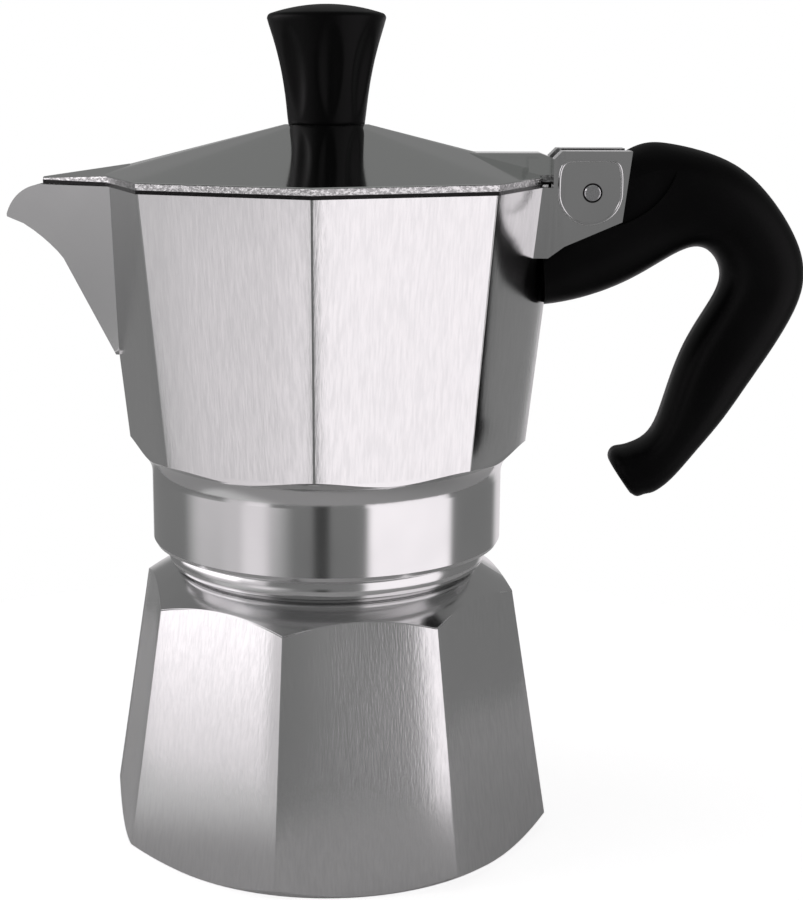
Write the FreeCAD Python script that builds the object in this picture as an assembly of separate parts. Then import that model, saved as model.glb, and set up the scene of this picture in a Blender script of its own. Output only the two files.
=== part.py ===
import FreeCAD, Part
import math
import os

# Octagonal stove-top coffee maker, in millimetres.
# Origin at the centre of the base, +Z up, +X towards the handle, -X towards the spout.

Vector = FreeCAD.Vector
UP = Vector(0, 0, 1)

# Octagon of the boiler
BASE_DISC_RADIUS = 41.0
BOILER_CORNER_HEIGHT = 3.0
BOILER_CORNER_RADIUS = 45.0
SHOULDER_CORNER_HEIGHT = 49.1
SHOULDER_CORNER_RADIUS = 37.5
SHOULDER_RISE_PER_RADIUS = 0.613
BOILER_TURN = -9.0
BOILER_WALL = 2.6
BOILER_FLOOR = 3.0
BASE_CHAMFER_RISE = 0.75
CORNER_ROUND = 0.5

# Neck of the boiler
NECK_ROOT_RADIUS = 30.0
GROOVE_RADIUS = 29.5
BEAD_RADIUS = 30.9
BEAD_HEIGHT = 56.0
BEAD_HALF_WIDTH = 1.4
THREAD_ROOT_RADIUS = 30.2
BOILER_RIM_HEIGHT = 66.0
BOILER_BORE_RADIUS = 27.0

# Funnel, gasket and filter plate
FUNNEL_FLANGE_RADIUS = 29.4
FUNNEL_FLANGE = 0.9
BASKET_RADIUS = 25.6
BASKET_WALL = 1.0
BASKET_DEPTH = 16.0
BASKET_LEDGE = 2.0
FUNNEL_CONE_DROP = 5.6
STEM_RADIUS = 4.2
STEM_WALL = 1.0
STEM_END_HEIGHT = 6.0
SIEVE_THICKNESS = 0.8
SIEVE_HOLE_RADIUS = 0.75
SIEVE_RING_PITCH = 5.2
SIEVE_RINGS = 4
GASKET_THICKNESS = 2.0
GASKET_INNER_RADIUS = 24.0
GASKET_OUTER_RADIUS = 29.9
FILTER_RADIUS = 27.2
FILTER_THICKNESS = 0.8
SEAT_GAP = 0.04
SLIP_CLEARANCE = 0.3
PRESSED_CLEARANCE = 0.02
RUNNING_CLEARANCE = 0.06

# Collar and octagon of the collector
COLLAR_BOTTOM_HEIGHT = 58.2
COLLAR_RADIUS = 34.45
COLLAR_EDGE = 1.2
COLLAR_TOP_HEIGHT = 72.3
COLLAR_BORE_RADIUS = 31.3
WAIST_RADIUS = 39.5
WAIST_HEIGHT = 78.2
COLLECTOR_LOW_HEIGHT = 77.94
COLLECTOR_LOW_RADIUS = 39.22
COLLECTOR_RIM_HEIGHT = 128.1
COLLECTOR_RIM_RADIUS = 44.6
COLLECTOR_WALL = 2.8
COLLECTOR_FLOOR = 5.0
CHAMBER_RADIUS = 24.5
CHAMBER_RISE = 5.6
COLUMN_FOOT_RADIUS = 5.0
COLUMN_FLANGE_RADIUS = 6.6
COLUMN_TOP_RADIUS = 4.0
COLUMN_LENGTH = 35.5
COLUMN_BORE_RADIUS = 2.6
COLUMN_OUTLET = 3.0

# Spout, as a keel that grows out of the corner at -X
SPOUT_FOOT_HEIGHT = 94.0
SPOUT_KNEE_HEIGHT = 113.6
SPOUT_TIP_HEIGHT = 121.7
SPOUT_FOOT_REACH = 41.3
SPOUT_KNEE_REACH = 51.4
SPOUT_TIP_REACH = 62.3
SPOUT_ROOT_REACH = 40.3
SPOUT_HALF_WIDTH = 10.5
SPOUT_WALL = 2.2
SPOUT_KEEL = 0.6
SPOUT_LIP_START = 54.0

# Hinge bracket at the corner at +X
BRACKET_START = 42.7
BRACKET_END = 57.1
BRACKET_FOOT_END = 55.6
BRACKET_TOP_HEIGHT = 134.8
BRACKET_FOOT_HEIGHT = 121.8
BRACKET_HEEL_HEIGHT = 115.0
BRACKET_HEEL = 42.0
BRACKET_KINK = 45.0
BRACKET_KINK_HEIGHT = 117.2
BRACKET_HALF_WIDTH = 9.5
EAR_CHAMFER = 1.5
BOSS_HEIGHT = 0.35
BOSS_RADIUS = 6.0
SLOT_HALF_WIDTH = 4.0
SLOT_START = 45.2
SLOT_BACK_HEIGHT = 126.0
SLOT_FLOOR = 2.7
PIN_X = 49.9
PIN_HEIGHT = 127.2
PIN_RADIUS = 1.5
PIN_HEAD_PROUD = 0.25

# Lid
LID_OVERHANG = 0.4
LID_RIM_TOP = 130.1
LID_SEAT_RADIUS = 8.0
LID_SEAT_HEIGHT = 139.4
LID_WALL = 2.3
LID_RIM_ROUND = 0.35
LID_GROOVE = 0.35
LID_GROOVE_HEIGHT = 128.9
LID_TAB_HEIGHT = 134.2
LID_TAB_START = 27.0
LID_CUT = 40.1
LID_NOTCH_CLEARANCE = 0.8
LID_SHOULDER_LENGTH = 2.0
LID_SHOULDER_HALF_WIDTH = 8.4
LID_SHOULDER_HEIGHT = 133.4
LEAF_SIDE_CLEARANCE = 0.3
KNUCKLE_RADIUS = 3.3
KNUCKLE_CLEARANCE = 0.4
PROW_REACH = 54.9
PROW_TIP_TOP = 129.4
PROW_HALF_WIDTH = 11.4

# Knob
KNOB_FOOT_RADIUS = 7.3
KNOB_WAIST_RADIUS = 8.35
KNOB_WAIST_HEIGHT = 7.0
KNOB_RIM_RADIUS = 11.25
KNOB_RIM_HEIGHT = 19.3
KNOB_EDGE = 1.2
KNOB_TOP_HEIGHT = 22.2
KNOB_TOP_FLAT = 1.0
KNOB_FLUTES = 8
KNOB_FLUTE_DEPTH = 0.8
KNOB_FLUTE_RADIUS = 2.1
KNOB_FLUTE_HALF_LENGTH = 8.2
KNOB_SCREW_RADIUS = 1.9
KNOB_SCREW_HEAD_RADIUS = 3.6
KNOB_SCREW_HEAD = 1.8
KNOB_SCREW_GRIP = 10.0

# Handle, with the inner and outer outline of its grip as (x, height) from nose to tip
HANDLE_NOSE_INNER = (42.0, 105.4)
HANDLE_NOSE_OUTER = (41.0, 118.0)
HANDLE_NECK_INNER = (51.0, 107.3)
HANDLE_NECK_OUTER = (48.5, 127.5)
HANDLE_HEAD_INNER = (59.0, 110.7)
HANDLE_HEAD_OUTER = (57.6, 134.9)
HANDLE_SHOULDER_INNER = (66.0, 114.9)
HANDLE_SHOULDER_OUTER = (65.0, 135.9)
HANDLE_CROWN_INNER = (70.9, 116.6)
HANDLE_CROWN_OUTER = (74.2, 133.5)
HANDLE_BEND_INNER = (74.3, 114.7)
HANDLE_BEND_OUTER = (83.0, 127.3)
HANDLE_ELBOW_INNER = (75.7, 111.0)
HANDLE_ELBOW_OUTER = (90.6, 114.6)
HANDLE_PALM_INNER = (74.1, 106.0)
HANDLE_PALM_OUTER = (88.7, 102.6)
HANDLE_GRIP_INNER = (69.4, 97.4)
HANDLE_GRIP_OUTER = (82.1, 91.2)
HANDLE_WRIST_INNER = (66.0, 87.2)
HANDLE_WRIST_OUTER = (77.0, 83.3)
HANDLE_CUFF_INNER = (63.9, 81.0)
HANDLE_CUFF_OUTER = (72.0, 76.8)
HANDLE_HOOK_INNER = (61.0, 78.2)
HANDLE_HOOK_OUTER = (67.2, 70.9)
HANDLE_TIP_INNER = (56.4, 76.8)
HANDLE_TIP_OUTER = (62.4, 68.1)
HANDLE_TIP_ROUND = 2.0
HANDLE_HALF_WIDTH = 8.4
HANDLE_TIP_HALF_WIDTH = 7.2
HANDLE_SQUARENESS = 0.8
HANDLE_STATIONS = 36
HANDLE_SECTION_STEPS = 12
WEB_HALF_WIDTH = 7.5
WEB_START = (54.6, 121.0)
WEB_MIDDLE = (61.4, 124.6)
WEB_END = (66.0, 132.5)
HANDLE_SCREW_RADIUS = 1.6
HANDLE_SCREW_HEAD_RADIUS = 3.2
HANDLE_SCREW_HEAD = 1.6
HANDLE_SCREW_GRIP = 8.0
HANDLE_SCREW_X = 50.3

# Safety valve on a rear face
VALVE_HEIGHT = 35.0
VALVE_FACE = 2
VALVE_HEX = 11.0
VALVE_HEX_HEIGHT = 4.0
VALVE_NOSE_RADIUS = 4.4
VALVE_NOSE_HEIGHT = 6.0
VALVE_SHANK_RADIUS = 4.0
VALVE_SHANK = 7.0
VALVE_CHAMBER_RADIUS = 3.0
VALVE_CHAMBER_FLOOR = -5.0
VALVE_INLET_RADIUS = 1.5
RETAINER = 1.2
PLUNGER_STEM_RADIUS = 1.2
PLUNGER_HEAD_RADIUS = 2.6
PLUNGER_HEAD = 1.0
PLUNGER_PROUD = 1.6
SPRING_RADIUS = 2.1
SPRING_WIRE_RADIUS = 0.3
SPRING_TURNS = 4.5


def ring_point(radius, degrees, height):
    angle = math.radians(degrees)
    return Vector(radius * math.cos(angle), radius * math.sin(angle), height)


def octagon(corner_radius, height, turn=0.0):
    corners = [ring_point(corner_radius, turn + 45 * k, height) for k in range(9)]
    return Part.makePolygon(corners)


def octagon_loft(levels, turn=0.0):
    wires = [octagon(radius, height, turn) for radius, height in levels]
    return Part.makeLoft(wires, True, True)


def rounded_octagon(levels, turn=0.0):
    solid = octagon_loft(levels, turn)
    upright = [edge for edge in solid.Edges if edge.BoundBox.ZLength > CORNER_ROUND]
    return solid.makeFillet(CORNER_ROUND, upright)


def turned(points):
    path = [Vector(radius, 0, height) for radius, height in points]
    path.append(path[0])
    face = Part.Face(Part.makePolygon(path))
    return face.revolve(Vector(0, 0, 0), UP, 360)


def turned_edges(edges):
    face = Part.Face(Part.Wire(edges))
    return face.revolve(Vector(0, 0, 0), UP, 360)


def line(start, end):
    return Part.makeLine(Vector(start[0], 0, start[1]), Vector(end[0], 0, end[1]))


def arc(start, middle, end):
    points = [Vector(point[0], 0, point[1]) for point in (start, middle, end)]
    return Part.Arc(points[0], points[1], points[2]).toShape()


def disc(radius, bottom, thickness):
    return Part.makeCylinder(radius, thickness, Vector(0, 0, bottom))


def side_prism(points, half_width):
    path = [Vector(x, -half_width, z) for x, z in points]
    path.append(path[0])
    return Part.Face(Part.makePolygon(path)).extrude(Vector(0, 2 * half_width, 0))


def across(radius, x, z, half_width):
    return Part.makeCylinder(radius, 2 * half_width, Vector(x, -half_width, z), Vector(0, 1, 0))


def box(x0, x1, half_width, z0, z1):
    return Part.makeBox(x1 - x0, 2 * half_width, z1 - z0, Vector(x0, -half_width, z0))


def perforated(plate, hole_radius, ring_pitch, rings):
    box_of_plate = plate.BoundBox
    depth = box_of_plate.ZLength + 2
    low = box_of_plate.ZMin - 1
    holes = [Part.makeCylinder(hole_radius, depth, Vector(0, 0, low))]
    for ring in range(1, rings):
        for k in range(6 * ring):
            place = ring_point(ring_pitch * ring, 60.0 * k / ring, low)
            holes.append(Part.makeCylinder(hole_radius, depth, place))
    return plate.cut(Part.makeCompound(holes))


# Heights that follow from the stack of seats
boiler_rise = SHOULDER_CORNER_HEIGHT - BOILER_CORNER_HEIGHT
boiler_taper = (BOILER_CORNER_RADIUS - SHOULDER_CORNER_RADIUS) / boiler_rise
collector_rise = COLLECTOR_RIM_HEIGHT - COLLECTOR_LOW_HEIGHT
collector_taper = (COLLECTOR_RIM_RADIUS - COLLECTOR_LOW_RADIUS) / collector_rise
corner_share = math.cos(math.radians(22.5))
funnel_seat = BOILER_RIM_HEIGHT + SEAT_GAP
funnel_top = funnel_seat + FUNNEL_FLANGE
gasket_bottom = funnel_top + SEAT_GAP
gasket_top = gasket_bottom + GASKET_THICKNESS
collector_seat = gasket_top + SEAT_GAP
filter_roof = collector_seat + FILTER_THICKNESS + 2 * SEAT_GAP
chamber_top = filter_roof + CHAMBER_RISE
collector_floor = chamber_top + COLLECTOR_FLOOR
column_top = collector_floor + COLUMN_LENGTH
lid_radius = COLLECTOR_RIM_RADIUS + LID_OVERHANG
lid_seat = COLLECTOR_RIM_HEIGHT + SEAT_GAP


def boiler_corner(height):
    return BOILER_CORNER_RADIUS - boiler_taper * (height - BOILER_CORNER_HEIGHT)


def collector_corner(height):
    return COLLECTOR_LOW_RADIUS + collector_taper * (height - COLLECTOR_LOW_HEIGHT)


def shoulder_height(radius, drop=0.0):
    return SHOULDER_CORNER_HEIGHT - drop + SHOULDER_RISE_PER_RADIUS * (SHOULDER_CORNER_RADIUS - radius)


# Frame of the safety valve: its local +Z leaves the rear face squarely
valve_angle = BOILER_TURN + 22.5 + 45.0 * VALVE_FACE
valve_lean = math.degrees(math.atan(boiler_taper * corner_share))
valve_point = ring_point(boiler_corner(VALVE_HEIGHT) * corner_share, valve_angle, VALVE_HEIGHT)
valve_turn = FreeCAD.Rotation(UP, valve_angle).multiply(FreeCAD.Rotation(Vector(0, 1, 0), 90 - valve_lean))
valve_frame = FreeCAD.Placement(valve_point, valve_turn)


def on_valve(shape):
    placed = shape.copy()
    placed.Placement = valve_frame.multiply(placed.Placement)
    return placed


def make_boiler():
    wide = BOILER_CORNER_RADIUS + 5
    chamfer_height = BASE_CHAMFER_RISE * (wide - BASE_DISC_RADIUS)
    groove_low = shoulder_height(NECK_ROOT_RADIUS) + 0.3
    bead_low = (GROOVE_RADIUS, BEAD_HEIGHT - BEAD_HALF_WIDTH)
    bead_high = (GROOVE_RADIUS, BEAD_HEIGHT + BEAD_HALF_WIDTH)
    corner = 0.6
    thread_low = bead_high[1] + corner
    rim_low = BOILER_RIM_HEIGHT - corner
    edges = [
        line((0, 0), (BASE_DISC_RADIUS, 0)),
        line((BASE_DISC_RADIUS, 0), (wide, chamfer_height)),
        line((wide, chamfer_height), (wide, shoulder_height(wide))),
        line((wide, shoulder_height(wide)), (NECK_ROOT_RADIUS, shoulder_height(NECK_ROOT_RADIUS))),
        line((NECK_ROOT_RADIUS, shoulder_height(NECK_ROOT_RADIUS)), (GROOVE_RADIUS, groove_low)),
        line((GROOVE_RADIUS, groove_low), bead_low),
        arc(bead_low, (BEAD_RADIUS, BEAD_HEIGHT), bead_high),
        line(bead_high, (THREAD_ROOT_RADIUS, thread_low)),
        line((THREAD_ROOT_RADIUS, thread_low), (THREAD_ROOT_RADIUS, rim_low)),
        line((THREAD_ROOT_RADIUS, rim_low), (THREAD_ROOT_RADIUS - corner, BOILER_RIM_HEIGHT)),
        line((THREAD_ROOT_RADIUS - corner, BOILER_RIM_HEIGHT), (0, BOILER_RIM_HEIGHT)),
        line((0, BOILER_RIM_HEIGHT), (0, 0)),
    ]
    low, high = -2.0, BOILER_RIM_HEIGHT + 2
    outer = rounded_octagon([(boiler_corner(low), low), (boiler_corner(high), high)], BOILER_TURN)
    outer = outer.common(turned_edges(edges))
    inset = BOILER_WALL / corner_share
    drop = BOILER_WALL * 1.17
    hollow = octagon_loft([
        (boiler_corner(low) - inset, low),
        (boiler_corner(high) - inset, high),
    ], BOILER_TURN)
    floor_radius = BASE_DISC_RADIUS - BOILER_WALL
    hollow = hollow.common(turned([
        (0, BOILER_FLOOR),
        (floor_radius, BOILER_FLOOR),
        (wide, BOILER_FLOOR + BASE_CHAMFER_RISE * (wide - floor_radius)),
        (wide, shoulder_height(wide, drop)),
        (BOILER_BORE_RADIUS, shoulder_height(BOILER_BORE_RADIUS, drop)),
        (BOILER_BORE_RADIUS, high),
        (0, high),
    ]))
    hole = on_valve(disc(VALVE_SHANK_RADIUS + PRESSED_CLEARANCE, -15, 25))
    return outer.cut(hollow).cut(hole)


def make_valve_body():
    hexagon = Part.makePolygon([ring_point(VALVE_HEX / math.sqrt(3), 60 * k, 0) for k in range(7)])
    head = Part.Face(hexagon).extrude(Vector(0, 0, VALVE_HEX_HEIGHT))
    crown = turned([
        (0, 0),
        (VALVE_HEX / 2 + 0.2, 0),
        (VALVE_HEX / 2 + 0.2, VALVE_HEX_HEIGHT - 0.5),
        (VALVE_HEX / 2 - 0.4, VALVE_HEX_HEIGHT),
        (0, VALVE_HEX_HEIGHT),
    ])
    nose = turned([
        (0, VALVE_HEX_HEIGHT - 0.5),
        (VALVE_NOSE_RADIUS, VALVE_HEX_HEIGHT - 0.5),
        (VALVE_NOSE_RADIUS, VALVE_NOSE_HEIGHT - 0.8),
        (VALVE_NOSE_RADIUS - 0.8, VALVE_NOSE_HEIGHT),
        (0, VALVE_NOSE_HEIGHT),
    ])
    shank = disc(VALVE_SHANK_RADIUS, -VALVE_SHANK, VALVE_SHANK)
    chamber = disc(VALVE_CHAMBER_RADIUS, VALVE_CHAMBER_FLOOR, VALVE_NOSE_HEIGHT + 10)
    inlet = disc(VALVE_INLET_RADIUS, -VALVE_SHANK - 1, 10)
    solid = head.common(crown).fuse([nose, shank]).cut(chamber).cut(inlet).removeSplitter()
    solid.translate(Vector(0, 0, SEAT_GAP))
    return on_valve(solid)


retainer_low = VALVE_NOSE_HEIGHT - RETAINER
plunger_floor = VALVE_CHAMBER_FLOOR + 2 * SEAT_GAP


def make_valve_retainer():
    ring = disc(VALVE_CHAMBER_RADIUS - PRESSED_CLEARANCE, retainer_low, RETAINER)
    ring = ring.cut(disc(PLUNGER_STEM_RADIUS + RUNNING_CLEARANCE, retainer_low - 1, RETAINER + 2))
    return on_valve(ring)


def make_valve_plunger():
    stem_end = VALVE_NOSE_HEIGHT + PLUNGER_PROUD
    shape = turned([
        (0, plunger_floor),
        (PLUNGER_HEAD_RADIUS, plunger_floor),
        (PLUNGER_HEAD_RADIUS, plunger_floor + PLUNGER_HEAD),
        (PLUNGER_STEM_RADIUS, plunger_floor + PLUNGER_HEAD),
        (PLUNGER_STEM_RADIUS, stem_end - 0.4),
        (PLUNGER_STEM_RADIUS - 0.4, stem_end),
        (0, stem_end),
    ])
    return on_valve(shape)


def make_valve_spring():
    low = plunger_floor + PLUNGER_HEAD + SPRING_WIRE_RADIUS + SEAT_GAP
    high = retainer_low - SPRING_WIRE_RADIUS - SEAT_GAP
    pitch = (high - low) / SPRING_TURNS
    path = Part.Wire(Part.makeHelix(pitch, high - low, SPRING_RADIUS))
    start = path.Edges[0].valueAt(path.Edges[0].FirstParameter)
    along = path.Edges[0].tangentAt(path.Edges[0].FirstParameter)
    section = Part.Wire(Part.makeCircle(SPRING_WIRE_RADIUS, start, along))
    coil = path.makePipeShell([section], True, True)
    coil.translate(Vector(0, 0, low))
    print("spring coil gap", round(pitch - 2 * SPRING_WIRE_RADIUS, 2), "mm")
    return on_valve(coil)


basket_floor = funnel_top - BASKET_DEPTH
basket_inner = BASKET_RADIUS - BASKET_WALL
ledge_radius = basket_inner - BASKET_LEDGE
stem_inner = STEM_RADIUS - STEM_WALL


def make_funnel():
    cone_low = basket_floor - FUNNEL_CONE_DROP
    return turned([
        (FUNNEL_FLANGE_RADIUS, funnel_seat),
        (FUNNEL_FLANGE_RADIUS, funnel_top - 0.3),
        (FUNNEL_FLANGE_RADIUS - 0.3, funnel_top),
        (basket_inner, funnel_top),
        (basket_inner, basket_floor),
        (ledge_radius, basket_floor),
        (stem_inner, cone_low),
        (stem_inner, STEM_END_HEIGHT),
        (STEM_RADIUS, STEM_END_HEIGHT),
        (STEM_RADIUS, cone_low - BASKET_WALL),
        (ledge_radius + BASKET_WALL, basket_floor - BASKET_WALL),
        (BASKET_RADIUS, basket_floor - BASKET_WALL),
        (BASKET_RADIUS, funnel_seat),
    ])


def make_funnel_sieve():
    plate = disc(basket_inner - SLIP_CLEARANCE, basket_floor + SEAT_GAP, SIEVE_THICKNESS)
    return perforated(plate, SIEVE_HOLE_RADIUS, SIEVE_RING_PITCH, SIEVE_RINGS + 1)


def make_gasket():
    ring = disc(GASKET_OUTER_RADIUS, gasket_bottom, GASKET_THICKNESS)
    return ring.cut(disc(GASKET_INNER_RADIUS, gasket_bottom - 1, GASKET_THICKNESS + 2))


def make_filter_plate():
    plate = disc(FILTER_RADIUS, collector_seat + SEAT_GAP, FILTER_THICKNESS)
    return perforated(plate, SIEVE_HOLE_RADIUS, SIEVE_RING_PITCH, SIEVE_RINGS)


def spout_half_width(height):
    share = (height - SPOUT_FOOT_HEIGHT) / (COLLECTOR_RIM_HEIGHT - SPOUT_FOOT_HEIGHT)
    return SPOUT_HALF_WIDTH * max(share, 0.0)


def spout_section(reach, height, wall, keel):
    half = spout_half_width(height) - wall
    root = SPOUT_ROOT_REACH - 0.6 * wall
    back = SPOUT_ROOT_REACH - 8
    points = [(-reach, keel), (-root, half), (-back, half), (-back, -half), (-root, -half), (-reach, -keel)]
    path = [Vector(x, y, height) for x, y in points]
    path.append(path[0])
    return Part.makePolygon(path)


def spout_reach(height):
    if height <= SPOUT_KNEE_HEIGHT:
        share = (height - SPOUT_FOOT_HEIGHT) / (SPOUT_KNEE_HEIGHT - SPOUT_FOOT_HEIGHT)
        return SPOUT_FOOT_REACH + (SPOUT_KNEE_REACH - SPOUT_FOOT_REACH) * share
    share = (height - SPOUT_KNEE_HEIGHT) / (SPOUT_TIP_HEIGHT - SPOUT_KNEE_HEIGHT)
    share = min(share, 1.0)
    bend = 1 - (1 - share ** 1.3) ** 0.62
    rise = (SPOUT_KNEE_REACH - SPOUT_FOOT_REACH) / (SPOUT_KNEE_HEIGHT - SPOUT_FOOT_HEIGHT)
    straight = rise * (SPOUT_TIP_HEIGHT - SPOUT_KNEE_HEIGHT) * share
    flare = SPOUT_TIP_REACH - SPOUT_KNEE_REACH - rise * (SPOUT_TIP_HEIGHT - SPOUT_KNEE_HEIGHT)
    return SPOUT_KNEE_REACH + straight + flare * bend


def spout_keel_solid(wall):
    shift = 1.9 * wall
    heights = [SPOUT_FOOT_HEIGHT + 0.6 + (1.5 + 4.4) * wall, SPOUT_KNEE_HEIGHT]
    steps = 6
    step = (SPOUT_TIP_HEIGHT - SPOUT_KNEE_HEIGHT) / steps
    heights += [SPOUT_KNEE_HEIGHT + step * k for k in range(1, steps + 1)]
    heights.append(COLLECTOR_RIM_HEIGHT + (1.0 if wall else 0.0))
    keel = SPOUT_KEEL if not wall else SPOUT_KEEL / 2
    wires = []
    for height in heights:
        keel_here = min(keel, max(spout_half_width(height) - wall, 0.2))
        wires.append(spout_section(spout_reach(height) - shift, height, wall, keel_here))
    return Part.makeLoft(wires, True, True)


def spout_lip_cut():
    top = COLLECTOR_RIM_HEIGHT + 5
    start = Vector(-SPOUT_LIP_START, -20, COLLECTOR_RIM_HEIGHT)
    middle = Vector(-SPOUT_LIP_START - 5.2, -20, COLLECTOR_RIM_HEIGHT - 1.6)
    tip = Vector(-SPOUT_TIP_REACH - 0.2, -20, SPOUT_TIP_HEIGHT - 0.1)
    lip = Part.Arc(start, middle, tip).toShape()
    far = Vector(tip.x - 5, -20, tip.z)
    far_top = Vector(far.x, -20, top)
    back_top = Vector(start.x, -20, top)
    edges = [
        lip,
        Part.makeLine(tip, far),
        Part.makeLine(far, far_top),
        Part.makeLine(far_top, back_top),
        Part.makeLine(back_top, start),
    ]
    return Part.Face(Part.Wire(edges)).extrude(Vector(0, 40, 0))


bracket_slope = (BRACKET_FOOT_HEIGHT - BRACKET_KINK_HEIGHT) / (BRACKET_FOOT_END - BRACKET_KINK)


def bracket_outline(grow=0.0):
    inner = BRACKET_HEEL - 4
    return [
        (BRACKET_START + EAR_CHAMFER, BRACKET_TOP_HEIGHT + grow),
        (BRACKET_END + grow, BRACKET_TOP_HEIGHT + grow),
        (BRACKET_FOOT_END + grow, BRACKET_FOOT_HEIGHT - grow),
        (BRACKET_KINK, BRACKET_KINK_HEIGHT - grow),
        (BRACKET_HEEL, BRACKET_HEEL_HEIGHT - grow),
        (inner, BRACKET_HEEL_HEIGHT - grow),
        (inner, COLLECTOR_RIM_HEIGHT),
        (BRACKET_START, COLLECTOR_RIM_HEIGHT),
        (BRACKET_START, BRACKET_TOP_HEIGHT - EAR_CHAMFER),
    ]


def bracket_boss():
    half = BRACKET_HALF_WIDTH + BOSS_HEIGHT
    middle = PIN_X - 0.4
    roof = BRACKET_TOP_HEIGHT - 1.4
    low = across(BOSS_RADIUS, middle, PIN_HEIGHT, half)
    top = box(middle - BOSS_RADIUS, middle + BOSS_RADIUS, half, PIN_HEIGHT, roof)
    corner = []
    for edge in top.Edges:
        limits = edge.BoundBox
        if abs(limits.XMin - middle - BOSS_RADIUS) < 0.01 and abs(limits.ZMin - roof) < 0.01:
            corner.append(edge)
    top = top.makeFillet(2.4, corner)
    return low.fuse(top)


def slot_cut():
    rise = SLOT_FLOOR * math.sqrt(1 + bracket_slope ** 2)
    floor_start = BRACKET_KINK_HEIGHT + rise
    end = PIN_X + KNUCKLE_RADIUS + KNUCKLE_CLEARANCE
    floor_end = floor_start + bracket_slope * (end - BRACKET_KINK)
    top = BRACKET_TOP_HEIGHT + 5
    return side_prism([
        (BRACKET_HEEL - 6, top),
        (BRACKET_HEEL - 6, COLLECTOR_RIM_HEIGHT),
        (SLOT_START, COLLECTOR_RIM_HEIGHT),
        (SLOT_START, floor_start),
        (end, floor_end),
        (end, SLOT_BACK_HEIGHT),
        (BRACKET_END + 1, SLOT_BACK_HEIGHT),
        (BRACKET_END + 1, top),
    ], SLOT_HALF_WIDTH)


def screw_frame():
    height = BRACKET_KINK_HEIGHT + bracket_slope * (HANDLE_SCREW_X - BRACKET_KINK)
    lean = -math.degrees(math.atan(bracket_slope))
    turn = FreeCAD.Rotation(Vector(0, 1, 0), lean)
    return FreeCAD.Placement(Vector(HANDLE_SCREW_X, 0, height), turn)


def screw_shape(grow):
    head_top = SLOT_FLOOR + grow
    head_low = SLOT_FLOOR - HANDLE_SCREW_HEAD
    end = -HANDLE_SCREW_GRIP - grow
    shape = turned([
        (0, end),
        (HANDLE_SCREW_RADIUS + grow, end),
        (HANDLE_SCREW_RADIUS + grow, head_low),
        (HANDLE_SCREW_HEAD_RADIUS + grow, head_top - 0.2),
        (HANDLE_SCREW_HEAD_RADIUS + grow, head_top),
        (0, head_top),
    ])
    shape.Placement = screw_frame().multiply(shape.Placement)
    return shape


def make_collector():
    low, high = COLLAR_TOP_HEIGHT - 2, COLLECTOR_RIM_HEIGHT
    body = rounded_octagon([(collector_corner(low), low), (collector_corner(high), high)])
    sweep = COLLAR_RADIUS + 6.0
    middle = (sweep - 6.0 * math.cos(math.radians(42)), COLLAR_TOP_HEIGHT + 6.0 * math.sin(math.radians(42)))
    edges = [
        line((0, low), (COLLAR_RADIUS, low)),
        line((COLLAR_RADIUS, low), (COLLAR_RADIUS, COLLAR_TOP_HEIGHT)),
        arc((COLLAR_RADIUS, COLLAR_TOP_HEIGHT), middle, (WAIST_RADIUS, WAIST_HEIGHT)),
        line((WAIST_RADIUS, WAIST_HEIGHT), (60, WAIST_HEIGHT + 3)),
        line((60, WAIST_HEIGHT + 3), (60, high + 1)),
        line((60, high + 1), (0, high + 1)),
        line((0, high + 1), (0, low)),
    ]
    body = body.common(turned_edges(edges))
    collar = turned([
        (0, COLLAR_BOTTOM_HEIGHT),
        (COLLAR_RADIUS - COLLAR_EDGE, COLLAR_BOTTOM_HEIGHT),
        (COLLAR_RADIUS - 0.35 * COLLAR_EDGE, COLLAR_BOTTOM_HEIGHT + 0.35 * COLLAR_EDGE),
        (COLLAR_RADIUS, COLLAR_BOTTOM_HEIGHT + COLLAR_EDGE),
        (COLLAR_RADIUS, COLLAR_TOP_HEIGHT),
        (0, COLLAR_TOP_HEIGHT),
    ])
    bracket = side_prism(bracket_outline(), BRACKET_HALF_WIDTH)
    spout = spout_keel_solid(0.0).cut(spout_lip_cut())
    body = body.fuse([collar, bracket, bracket_boss(), spout])
    inset = COLLECTOR_WALL / corner_share
    inside = octagon_loft([
        (collector_corner(collector_floor) - inset, collector_floor),
        (collector_corner(high + 2) - inset, high + 2),
    ])
    underside = turned([
        (0, COLLAR_BOTTOM_HEIGHT - 1),
        (COLLAR_BORE_RADIUS, COLLAR_BOTTOM_HEIGHT - 1),
        (COLLAR_BORE_RADIUS, collector_seat),
        (FILTER_RADIUS + SLIP_CLEARANCE, collector_seat),
        (FILTER_RADIUS + SLIP_CLEARANCE, filter_roof),
        (CHAMBER_RADIUS, filter_roof),
        (COLUMN_FOOT_RADIUS, chamber_top),
        (COLUMN_FOOT_RADIUS, collector_floor + 1),
        (0, collector_floor + 1),
    ])
    pin_hole = across(PIN_RADIUS + PRESSED_CLEARANCE, PIN_X, PIN_HEIGHT, BRACKET_HALF_WIDTH + 2)
    body = body.cut(inside).cut(underside).cut(spout_keel_solid(SPOUT_WALL))
    return body.cut(slot_cut()).cut(pin_hole).cut(screw_shape(0.05)).removeSplitter()


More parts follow.
